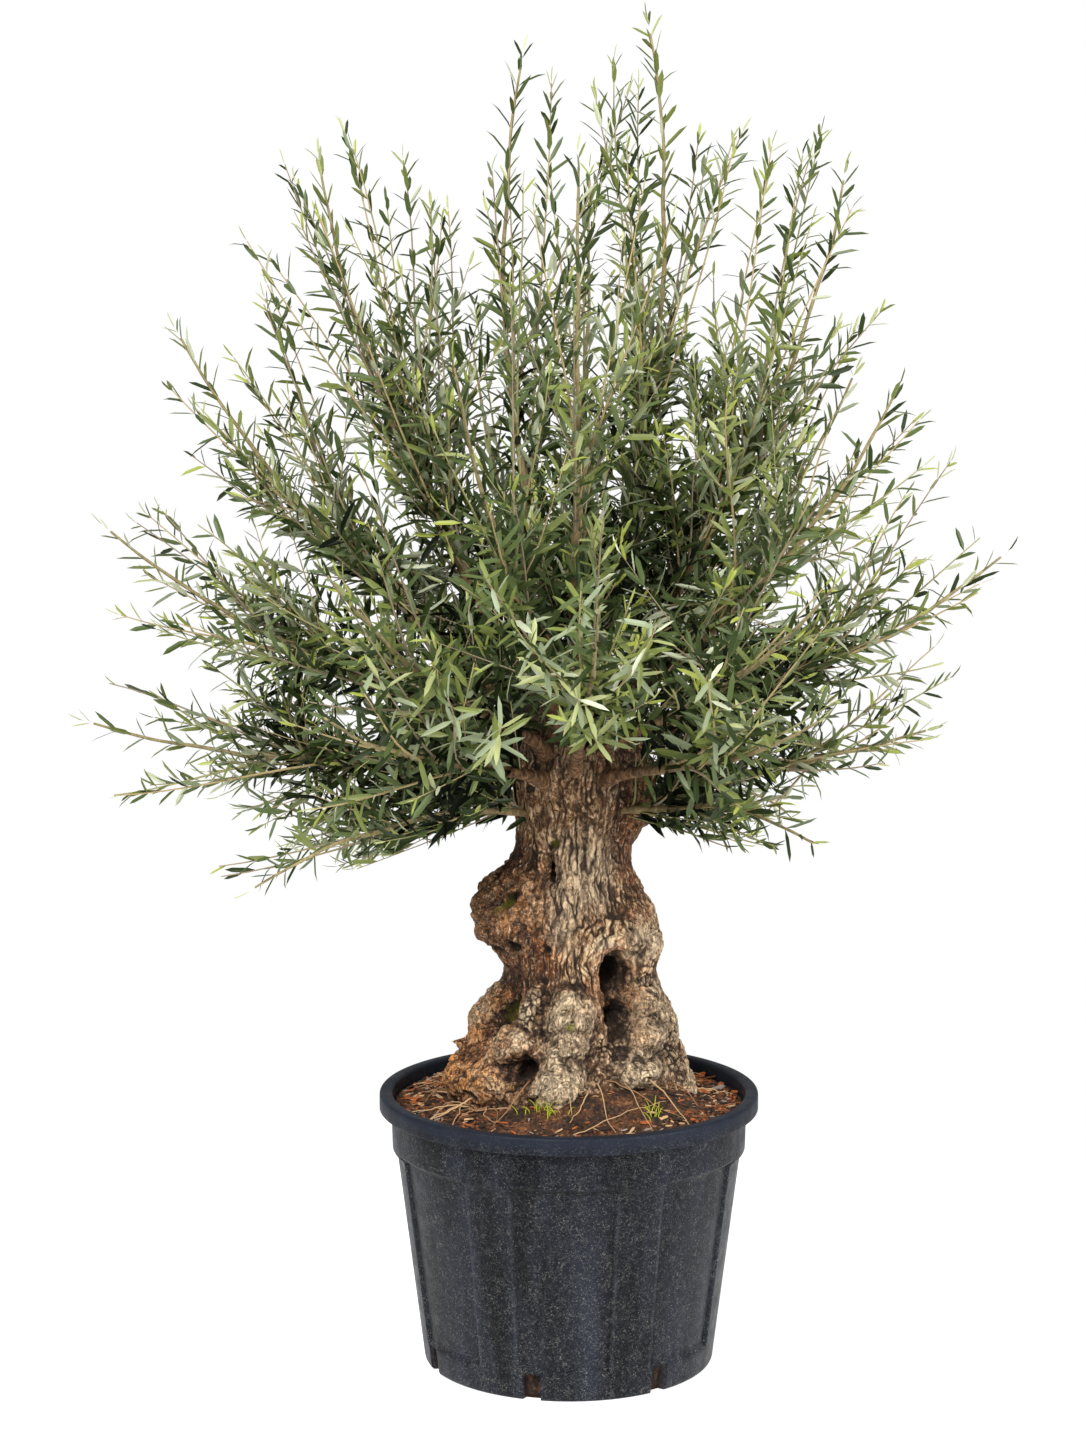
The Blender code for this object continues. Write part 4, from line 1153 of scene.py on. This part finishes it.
def listTwigs(shoots):
    # short twigs leave each shoot at a narrow angle
    hub = np.array(crown["hub"])
    twigs = []
    for number, shoot in enumerate(shoots):
        rng = np.random.default_rng([crown["seed"], 7000 + number])
        for _ in range(foliage["twigsPerShoot"]):
            t = rng.uniform(0.12, 0.75)
            start, along = leaving(shoot["curve"], t)
            side = unit(np.cross(along, rng.normal(size=3)))
            length = rng.uniform(*foliage["twigLength"]) * (1.2 - 0.6 * t)
            ahead = unit(along + side * rng.uniform(0.40, 0.70))
            tip = start + ahead * length + np.array([0, 0, rng.uniform(-0.04, 0.12) * length])
            away = tip - hub
            tooFar = np.linalg.norm(away) > crownReachOf(unit(away)) * foliage["twigReach"]
            if tooFar or not insideEdge(tip, 0.96):
                continue
            bend = start + (along * 0.6 + side * 0.4) * 0.3 * length
            curve = np.array([start, bend, start + ahead * 0.66 * length, tip])
            twigs.append(strandOf(curve, shoot["mass"], 0.12))
    return twigs


shoots = limbShoots() + edgeShoots() + spreadShoots()
twigs = listTwigs(shoots)
print("shoots", len(shoots), "twigs", len(twigs))


# what each column of a leaf's row holds
leafColumns = {
    "root": slice(0, 3), "blade": slice(3, 6), "face": slice(6, 9),
    "size": 9, "young": 10, "tone": 11, "mass": 12, "star": 13, "leader": 14,
}


def leafPart(rows, label):
    return rows[:, leafColumns[label]]


def leafRoots(strands, seed):
    # opposite pairs up each strand, each pair turned about a quarter from the last; one row of numbers a leaf
    rows, even = [], np.linspace(0, 1, 24)
    rng = np.random.default_rng(seed)
    for strand in strands:
        curve = strand["curve"]
        steps = np.linalg.norm(np.diff(bezier(curve, even), axis=0), axis=1)
        length = np.concatenate([[0], np.cumsum(steps)])
        total = length[-1]
        begin = strand["first"] * total
        spacing = foliage["pairSpacing"] * rng.uniform(0.85, 1.2)
        count = max(1, int((total - begin) / spacing))
        where = begin + (np.arange(count) + 0.5) * (total - begin) / count
        t = np.interp(where, length, even)
        point, along = bezier(curve, t), heading(curve, t)
        chord = unit(curve[3] - curve[0])
        side = unit(np.cross(chord, [0.3, 0.2, 1.0] if abs(chord[2]) < 0.9 else [1.0, 0, 0]))
        u = squareTo(along, side)
        v = np.cross(along, u)
        turn = rng.uniform(0, 6.28) + np.arange(count) * foliage["pairTurn"] + rng.normal(0, 0.30, count)
        own = [rng.uniform(0, 1), strand["mass"], strand["star"], strand["leader"]]
        remaining = (total - where) / total
        opened = strand["star"] * foliage["starOpening"]
        for sign in (0.0, math.pi):
            keep = rng.uniform(size=count) < foliage["kept"]
            a = turn + sign + rng.normal(0, 0.28, count)
            out = np.cos(a)[:, None] * u + np.sin(a)[:, None] * v
            # leaves lie closer to the shoot and are shorter towards its tip
            angle = rng.normal(foliage["leafAngle"], foliage["angleSpread"], count) + opened
            angle = np.radians(angle * (0.62 + 0.38 * np.clip(remaining * 4 + opened, 0, 1)))
            blade = along * np.cos(angle)[:, None] + out * np.sin(angle)[:, None]
            face = along * np.sin(angle)[:, None] - out * np.cos(angle)[:, None]
            size = rng.uniform(*foliage["leafLength"], count)
            size = size * (0.55 + 0.45 * np.clip(remaining * total / 0.05 + opened, 0, 1))
            young = np.clip(1 - remaining * total / 0.07, 0, 1)
            rows.append(np.column_stack([point, blade, face, size, young, np.tile(own, (count, 1))])[keep])
        # a last leaf carries on from the tip
        last = [curve[3], along[-1], np.cross(along[-1], u[-1]), [foliage["endLeaf"], 1.0, *own]]
        rows.append(np.concatenate(last)[None])
    rows = np.concatenate(rows)
    # longer leaves inside the crown; shorter and, but for the stars and the top, fewer ones at its edge
    depth = crownDepth(leafPart(rows, "root"))
    rows[:, leafColumns["size"]] *= 1.12 - 0.20 * softStep(depth, 0.45, 0.85)
    thinned = foliage["thinned"] * softStep(depth, 0.50, 0.80) * (leafPart(rows, "star") < 0.5)
    thinned = thinned * (1 - softStep(rows[:, 2], 1.74, 1.88))
    rows = rows[rng.uniform(size=len(rows)) > thinned]
    # a leaf whose tip would hang below the crown's edge is left out
    tips = leafPart(rows, "root") + leafPart(rows, "blade") * leafPart(rows, "size")[:, None]
    edge = 1.02 + 0.10 * smoothNoise(tips, 13, 215) + 0.35 * leafPart(rows, "leader")
    return rows[insideEdge(tips, edge) | (tips[:, 2] > crown["hub"].z + foliage["hangFrom"])]


def leafBodies(rows, seed):
    # each leaf a thin closed blade of root, two cross-sections of 4 points and tip, curled by -c u^2
    rng = np.random.default_rng(seed)
    n = len(rows)
    root, blade, face = (leafPart(rows, label) for label in ("root", "blade", "face"))
    size = leafPart(rows, "size")[:, None]
    # each blade is rolled a little about its own length
    roll = rng.normal(0, 0.5, n)[:, None]
    across = unit(np.cross(blade, face))
    face = unit(face * np.cos(roll) + across * np.sin(roll))
    across = unit(np.cross(blade, face))
    width = size * foliage["leafWidth"] * rng.uniform(0.85, 1.15, n)[:, None] * 0.5
    curl = size * rng.normal(foliage["leafCurl"], foliage["leafCurl"], n)[:, None]
    fold = width * rng.uniform(*foliage["leafFold"], n)[:, None]
    thick = foliage["leafThickness"] * 0.5
    corners = [root]
    for u, w in foliage["leafSections"]:
        middle = root + blade * size * u - face * curl * u * u
        half, raised = across * (width * w), face * fold * w
        corners += [middle + half + raised, middle + face * thick]
        corners += [middle - half + raised, middle - face * thick]
    corners.append(root + blade * size - face * curl)
    # left 1 and 5, top 2 and 6, right 3 and 7, bottom 4 and 8; the upper side's faces first
    tris = [(0, 2, 1), (0, 3, 2), (9, 5, 6), (9, 6, 7), (0, 1, 4), (0, 4, 3), (9, 8, 5), (9, 7, 8)]
    quads = [(1, 2, 6, 5), (2, 3, 7, 6), (4, 1, 5, 8), (3, 4, 8, 7)]
    shift = (np.arange(n) * 10)[:, None, None]
    return np.stack(corners, axis=1), tris + shift, quads + shift


leafTones = {
    "shade": (15, 21, 9), "deep": (44, 57, 23), "grey": (84, 99, 54), "olive": (116, 127, 60),
    "light": (166, 173, 112), "young": (158, 168, 72), "silver": (204, 210, 176),
    "silverDark": (144, 155, 120), "youngBack": (192, 198, 132),
}
leafGloss = {"shade": 0.08, "deep": 0.20, "grey": 0.35}
leafSlot = {name: i for i, name in enumerate(leafTones)}
leafMaterials = [
    plainMaterial(f"leaf{name[0].upper()}{name[1:]}", colour, 0.42, leafGloss.get(name, 0.5))
    for name, colour in leafTones.items()
]


def leafSlots(rows, seed):
    # upper side: darker greens inside the crown and low in it as painted shade, lighter by spray and chance;
    # under side silvery, darker on the leaves dealt painted shade; tips young
    rng = np.random.default_rng(seed)
    n = len(rows)
    star = leafPart(rows, "star") > 0.5
    depth = crownDepth(leafPart(rows, "root"))
    # painted shade: leaves low in the crown count as lying deeper inside, so they take darker tones
    depth -= 0.34 * (1 - softStep(rows[:, 2], 1.04, 1.26)) * (1 - softStep(depth, 0.50, 0.85))
    light = softStep(depth + rng.normal(0, 0.06, n), 0.12, 0.68)
    pick = leafPart(rows, "tone") * 0.50 + rng.uniform(0, 0.50, n) - 0.48 * (1 - light)
    pick = np.clip(pick + 0.25 * leafPart(rows, "star"), -1, 0.999)
    outer = softStep(depth, 0.62, 0.84) * ~star
    pick = np.where(pick > 0.02, np.maximum(pick - 0.16 * outer, 0.03), pick)
    top = np.select([pick < 0.02, pick < 0.26, pick < 0.52, pick < 0.78], [0, 1, 2, 3], 4)
    back = np.where(rng.uniform(size=n) < 0.55, leafSlot["silver"], leafSlot["silverDark"])
    back = np.where(rng.uniform(size=n) < 0.60 * outer, leafSlot["olive"], back)
    # the under sides of leaves dealt dark tones are darker too: painted shade
    back = np.where((pick < 0.30) & ~star, leafSlot["grey"], back)
    back = np.where((pick < 0.02) & ~star, leafSlot["deep"], back)
    starry = rng.uniform(size=n)
    top = np.where(star & (starry < 0.40), leafSlot["silverDark"], top)
    top = np.where(star & (starry < 0.08), leafSlot["silver"], top)
    isYoung = (leafPart(rows, "young") + rng.uniform(-0.35, 0.35, n) > 0.80) & (pick > 0.02) & ~star
    return np.where(isYoung, leafSlot["young"], top), np.where(isYoung, leafSlot["youngBack"], back)


def buildLeaves(name, rows, nodes, seed):
    points, tris, quads = leafBodies(rows, seed)
    sides = np.stack(leafSlots(rows, seed + 1), axis=1)
    slots = np.concatenate([np.repeat(sides, faces.shape[1] // 2, 1).reshape(-1) for faces in (tris, quads)])
    piece = addMesh(name, points, [tris, quads], leafMaterials, slots, smooth=False)
    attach(piece, "root")
    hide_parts(*nodes)


twigMaterials = [
    plainMaterial("twigTan", (180, 160, 112), 0.7),
    plainMaterial("twigOlive", (154, 150, 96), 0.7),
    plainMaterial("twigGrey", (150, 134, 106), 0.75),
]


def buildTwigWood(name, strands, nodes):
    # each strand a tube that thins evenly
    startRadius, endRadius, sides, steps = foliage[name]
    t = np.linspace(0, 1, steps)[None, :].repeat(len(strands), 0)
    paths = bezier(np.array([s["curve"] for s in strands]), t)
    radii = startRadius + (endRadius - startRadius) * t
    tone = np.random.default_rng(foliage["twigSeed"]).integers(0, 3, len(strands))
    piece = tubeMesh(name, paths, radii, sides, twigMaterials, tone)
    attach(piece, "root")
    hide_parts(*nodes)


massNames = [f"foliage_{limb['ring']}_{limb['number']}" for limb in limbs]
leafRows = leafRoots(shoots + twigs, foliage["leafSeed"])
print("leaves", len(leafRows))
for groupName, rings in foliage["groups"].items():
    members = [i for i, limb in enumerate(limbs) if limb["ring"] in rings]
    halves = [members[: (len(members) + 1) // 2], members[(len(members) + 1) // 2:]]
    for half, label in zip(halves, "AB"):
        rows = leafRows[np.isin(leafPart(leafRows, "mass").astype(int), half)]
        names = [massNames[i] for i in half]
        buildLeaves(f"leaves{groupName}{label}", rows, names, foliage["pieceSeed"] + half[0])
        print("leaves", groupName, label, len(rows))
buildTwigWood("longShoots", [s for s in shoots if not s["leader"]], massNames)
buildTwigWood("shortTwigs", twigs, massNames)
print("foliage made")


soil = {
    "level": 0.4297, "plateau": 0.215, "edge": 0.415, "gap": 0.0006, "around": 420, "rings": 110,
    "chipSeed": 77, "rootSeed": 99, "sprigSeed": 123,
    "chips": 5200, "chipReach": 0.270, "chipLength": 0.0088, "chipSpread": 0.50, "chipRange": (0.003, 0.034),
    # width as a share of the length, thickness as a share of the width
    "chipWidth": (0.16, 0.5), "chipThick": (0.12, 0.35), "chipThickest": 0.0028,
    # share of the chips in each of chipMaterials
    "chipShares": (0.28, 0.26, 0.26, 0.13, 0.07),
    "roots": 40, "rootSteps": 16, "rootLength": (0.04, 0.13), "rootRadius": (0.0008, 0.0018),
    "rootReach": 0.262,
    # crumbs on top: height, how many a metre, seed
    "crumbs": ((0.0040, 38, 101), (0.0026, 95, 102), (0.0018, 220, 103)),
    "sprigs": 11, "sprigRadius": 0.0010,
    "sprigPlaces": ((-0.058, -0.168), (-0.025, -0.186), (0.128, -0.176), (-0.10, 0.19), (0.16, 0.14)),
    # heaps against the trunk: x, y, height, half-widths
    "heaps": (
        (0.075, -0.135, 0.034, 0.085, 0.052), (0.160, -0.070, 0.016, 0.050, 0.060),
        (-0.020, -0.150, 0.018, 0.050, 0.038), (-0.060, 0.150, 0.020, 0.080, 0.045),
    ),
    # long roots on the soil: four points each, the third number being how far above it
    "longRoots": (
        ((0.050, -0.120, 0.016), (0.085, -0.150, 0.012), (0.120, -0.165, 0.006), (0.175, -0.172, 0.004)),
        ((0.080, -0.125, 0.014), (0.100, -0.160, 0.010), (0.118, -0.200, 0.006), (0.136, -0.236, 0.003)),
        ((0.005, -0.236, 0.003), (0.050, -0.205, 0.006), (0.095, -0.185, 0.008), (0.150, -0.150, 0.008)),
        ((-0.060, -0.140, 0.040), (-0.080, -0.165, 0.034), (-0.095, -0.175, 0.012), (-0.118, -0.190, 0.004)),
        ((-0.150, -0.110, 0.020), (-0.180, -0.130, 0.016), (-0.205, -0.140, 0.008), (-0.225, -0.135, 0.003)),
        ((0.110, -0.110, 0.020), (0.140, -0.140, 0.018), (0.170, -0.160, 0.010), (0.186, -0.190, 0.003)),
        ((0.030, -0.130, 0.018), (0.060, -0.165, 0.016), (0.045, -0.195, 0.006), (0.070, -0.225, 0.003)),
        ((0.060, 0.150, 0.020), (0.080, 0.190, 0.014), (0.120, 0.200, 0.006), (0.150, 0.215, 0.003)),
    ),
}


def soilHeight(x, y):
    # a low plateau that falls to the wall, with crumbs of noise, plus each heap h e^(-0.7(u^2 + v^2))
    r = np.hypot(x, y)
    base = soil["edge"] + (soil["level"] - soil["edge"]) * (1 - softStep(r, soil["plateau"] - 0.05, 0.272))
    p = np.stack([x, y, np.zeros_like(x)], axis=-1)
    crumbs = sum(size * smoothNoise(p, scale, seed) for size, scale, seed in soil["crumbs"])
    for across, forward, height, halfX, halfY in soil["heaps"]:
        base = base + height * np.exp(-0.7 * (((x - across) / halfX) ** 2 + ((y - forward) / halfY) ** 2))
    return base + crumbs


def buildSoil():
    # rings over the top, then down the pot's inner wall to its floor
    n, rings = soil["around"], soil["rings"]
    outer = potOuter(soil["edge"]) - pot["wall"] - soil["gap"]
    s = np.linspace(0.004, 1, rings)[:, None]
    a = turns(n)[None, :]
    top = roundPoints(outer * s, a, 0.0)
    top[..., 2] = soilHeight(top[..., 0], top[..., 1])
    low = pot["floor"] + soil["gap"]
    wallZ = np.concatenate([[soil["edge"] - 0.012, 0.2], np.linspace(0.052, low, 10)])[:, None]
    wallR = potOuter(wallZ) - pot["wall"] - soil["gap"] * 1.2
    # behind each slot the compost stands a little back, crumbly
    off = np.radians(offPlace(np.degrees(a), pot["slotBearing"], pot["slots"])) * 0.23
    behind = (1 - softStep(off, 0.014, 0.019)) * (wallZ < 0.05)
    crumb = smoothNoise(roundPoints(wallR, a, wallZ), 160, 107)
    wall = roundPoints(wallR - behind * (0.0070 + 0.0015 * crumb), a, wallZ)
    middle = [0, 0, soilHeight(np.zeros(1), np.zeros(1))[0]]
    points, faces = cappedGrid(np.concatenate([top, wall])[::-1], [0, 0, low], middle)
    # 1 on the wall and underneath, 0 on top
    inner = np.concatenate([np.repeat([1.0, 0.0], [len(wallZ) * n, rings * n]), [1.0, 0.0]])
    return addMesh("compost", points, faces, [soilFinish()], values={"inner": inner})


def soilFinish():
    m = NodeMaterial("compostFinish", 0.95)
    crumb = m.noise(170.0, 6.0, 0.75)
    patch = m.noise(26.0, 4.0, 0.6)
    dark = m.ramp(crumb, [(0.36, (18, 11, 7)), (0.52, (52, 33, 21)), (0.68, (118, 84, 54))])
    warm = m.ramp(crumb, [(0.36, (44, 24, 13)), (0.53, (126, 76, 42)), (0.70, (198, 148, 100))])
    colour = m.mix(m.ramp(patch, [(0.44, 0.0), (0.66, 0.8)]), dark, warm)
    shaded = m.times(m.attribute("inner"), m.ramp(m.noise(90.0, 3.0), [(0.45, 0.92), (0.62, 0.25)]))
    colour = m.mix(shaded, colour, (10, 6, 3))
    m.bump(crumb, 0.8, 0.004)
    return m.finish(colour)


chipMaterials = [
    plainMaterial("chipRust", (172, 94, 44), 0.85), plainMaterial("chipBrown", (100, 62, 36), 0.9),
    plainMaterial("chipDark", (44, 28, 18), 0.9), plainMaterial("chipPale", (208, 168, 124), 0.85),
    plainMaterial("chipGrey", (158, 144, 132), 0.9),
]


def buildChips():
    # bark chips: bent flat boxes of three cross-sections of 4 points, turned, tilted and rolled by chance
    rng = np.random.default_rng(soil["chipSeed"])
    n = soil["chips"]
    r = soil["chipReach"] * np.sqrt(rng.uniform(0.0, 1, n))
    a = rng.uniform(0, 2 * np.pi, n)
    x, y = r * np.cos(a), r * np.sin(a)
    bearing = np.degrees(np.arctan2(y - trunk["axis"][1], x - trunk["axis"][0]))
    clear = np.hypot(x - trunk["axis"][0], y) > trunkRadius(bearing, np.full(n, 0.01)) - 0.004
    # fewer in the dark middle in front of the trunk
    chance = 0.12 + 0.55 * softStep(r, 0.17, 0.26) + 0.45 * softStep(np.abs(x), 0.10, 0.22)
    clear &= rng.uniform(size=n) < chance
    x, y, n = x[clear], y[clear], int(clear.sum())
    length = rng.lognormal(math.log(soil["chipLength"]), soil["chipSpread"], n).clip(*soil["chipRange"])
    width = length * rng.uniform(*soil["chipWidth"], n)
    thick = np.minimum(width * rng.uniform(*soil["chipThick"], n), soil["chipThickest"])
    turn, tilt, roll = rng.uniform(0, 2 * np.pi, n), rng.normal(0, 0.20, n), rng.normal(0, 0.35, n)
    ahead = np.stack([np.cos(turn) * np.cos(tilt), np.sin(turn) * np.cos(tilt), np.sin(tilt)], axis=-1)
    side = unit(np.cross(np.array([0, 0, 1.0]), ahead))
    up = np.cross(ahead, side)
    c, s = np.cos(roll)[:, None], np.sin(roll)[:, None]
    side, up = side * c + up * s, up * c - side * s
    middle = np.stack([x, y, soilHeight(x, y) + thick * 0.4 + 0.0006], axis=-1)
    bend = rng.normal(0, 0.12, n)
    skew = rng.normal(0, 0.25, (n, 3))
    corners = []
    for u, share, askew in zip((-0.5, -0.1, 0.5), (0.28, 0.5, 0.28), skew.T):
        centre = middle + ahead * (length * u)[:, None] + up * (bend * length * (0.25 - u * u))[:, None]
        centre = centre + side * (askew * width * 0.5)[:, None]
        for sw, st in ((1, 1), (-1, 1), (-1, -1), (1, -1)):
            corners.append(centre + side * (width * share * sw)[:, None] + up * (thick * 0.5 * st)[:, None])
    quads = [(3, 2, 1, 0), (8, 9, 10, 11)]
    for b in (0, 4):
        quads += [(b + k, b + (k + 1) % 4, b + 4 + (k + 1) % 4, b + 4 + k) for k in range(4)]
    faces = quads + (np.arange(n) * 12)[:, None, None]
    slots = np.repeat(rng.choice(5, n, p=soil["chipShares"]), len(quads))
    return addMesh("barkChips", np.stack(corners, axis=1), [faces], chipMaterials, slots, smooth=False)


def buildRootlets():
    # thin roots lying on the soil: random walks that follow its height, and the drawn long ones
    rng = np.random.default_rng(soil["rootSeed"])
    n, steps = soil["roots"], soil["rootSteps"]
    a = rng.uniform(0, 2 * np.pi, n)
    r = trunkRadius(np.degrees(a), np.full(n, 0.02)) - 0.012
    turn = a + rng.normal(0, 0.7, n)
    length = rng.uniform(*soil["rootLength"], n)
    x, y = [trunk["axis"][0] + r * np.cos(a)], [r * np.sin(a)]
    for _ in range(1, steps):
        turn = turn + rng.normal(0, 0.22, n)
        x.append(x[-1] + np.cos(turn) * length / steps)
        y.append(y[-1] + np.sin(turn) * length / steps)
    x, y = np.array(x).T, np.array(y).T
    limit = np.minimum(1, soil["rootReach"] / np.maximum(np.hypot(x, y), 1e-6))
    x, y = x * limit, y * limit
    arch = 0.008 * np.sin(np.linspace(0, np.pi, steps))[None, :] * rng.uniform(0, 1, n)[:, None]
    walked = np.stack([x, y, soilHeight(x, y) + 0.0040 + arch], axis=-1)
    drawn = bezier(np.array(soil["longRoots"]), np.linspace(0, 1, steps))
    drawn[..., 2] += soilHeight(drawn[..., 0], drawn[..., 1])
    paths = np.concatenate([walked, drawn])
    n = len(paths)
    paths = paths + 0.004 * noiseVector(paths, 30, 105) * np.linspace(0, 1, steps)[None, :, None]
    radii = np.linspace(1, 0.40, steps)[None, :] * rng.uniform(*soil["rootRadius"], n)[:, None]
    pale, tan = plainMaterial("rootPale", (196, 160, 116), 0.8), plainMaterial("rootTan", (158, 116, 78), 0.8)
    return tubeMesh("rootlets", paths, radii, 5, [pale, tan], rng.choice(2, n))


def buildSprigs():
    # tufts of moss and seedlings: short curved blades rising from a few places on the soil
    rng = np.random.default_rng(soil["sprigSeed"])
    starts, tips = [], []
    for px, py in soil["sprigPlaces"]:
        for _ in range(soil["sprigs"]):
            x, y = px + rng.normal(0, 0.010), py + rng.normal(0, 0.006)
            z = float(soilHeight(np.array([x]), np.array([y]))[0]) - 0.001
            a = rng.uniform(0, 2 * np.pi)
            starts.append((x, y, z))
            tips.append((x + 0.013 * math.cos(a), y + 0.013 * math.sin(a), z + rng.uniform(0.006, 0.020)))
    starts, tips = np.array(starts), np.array(tips)
    lift = np.array([0, 0, 0.010])
    curves = np.stack([starts, starts + lift, tips + lift * 0.5, tips], axis=1)
    t = np.linspace(0, 1, 7)[None, :].repeat(len(curves), 0)
    radii = soil["sprigRadius"] * (1 - 0.75 * t)
    green = plainMaterial("mossGreen", (176, 182, 44), 0.6)
    return tubeMesh("mossSprigs", bezier(curves, t), radii, 4, [green], np.zeros(len(curves), int))


compost = buildSoil()
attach(compost, "root")
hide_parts("soil")
for piece in (buildChips(), buildRootlets()):
    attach(piece, "root")
sprigs = buildSprigs()
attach(sprigs, "root")
print("soil made")


def buildFloor():
    # a round pale floor that ends where its light has faded into the backdrop
    n = 96
    rim = roundPoints(studio["floorRadius"], turns(n), -0.0004)
    finish = plainMaterial("floorWhite", studio["floorColour"], 0.9)
    shader = finish.node_tree.nodes["Principled BSDF"]
    shader.inputs["Emission Color"].default_value = (1, 1, 1, 1)
    shader.inputs["Emission Strength"].default_value = studio["floorGlow"]
    addMesh("paleFloor", rim, [np.arange(n)[None]], [finish], smooth=False)


def softLight(name, place, aim, size, power):
    data = bpy.data.lights.new(name, "AREA")
    data.shape = "SQUARE"
    data.size = size
    data.energy = power
    lamp = bpy.data.objects.new(name, data)
    lamp.location = place
    lamp.rotation_euler = (Vector(aim) - Vector(place)).to_track_quat("-Z", "Y").to_euler()
    bpy.context.scene.collection.objects.link(lamp)


def buildStudio():
    scene = bpy.context.scene
    world = bpy.data.worlds.new("paleStudio")
    world.use_nodes = True
    tree = world.node_tree
    # the backdrop looks white and lights the plant softly
    path = tree.nodes.new("ShaderNodeLightPath")
    strength = tree.nodes.new("ShaderNodeMapRange")
    strength.inputs["To Min"].default_value = studio["worldLight"]
    strength.inputs["To Max"].default_value = studio["worldSeen"]
    tree.links.new(path.outputs["Is Camera Ray"], strength.inputs["Value"])
    tree.nodes["Background"].inputs["Color"].default_value = (1, 1, 1, 1)
    tree.links.new(strength.outputs["Result"], tree.nodes["Background"].inputs["Strength"])
    scene.world = world
    scene.view_settings.view_transform = "Standard"
    for name, light in studio["lights"].items():
        softLight(name, *light)
    camera = bpy.data.cameras.new("portraitCamera")
    camera.lens = studio["lens"]
    camera.sensor_width = studio["sensor"]
    camera.clip_end = studio["clipEnd"]
    holder = bpy.data.objects.new("portraitCamera", camera)
    holder.location = studio["cameraPlace"]
    holder.rotation_euler = (math.radians(90 - studio["cameraPitch"]), 0, 0)
    scene.collection.objects.link(holder)
    scene.camera = holder


buildFloor()
buildStudio()
print("studio made")
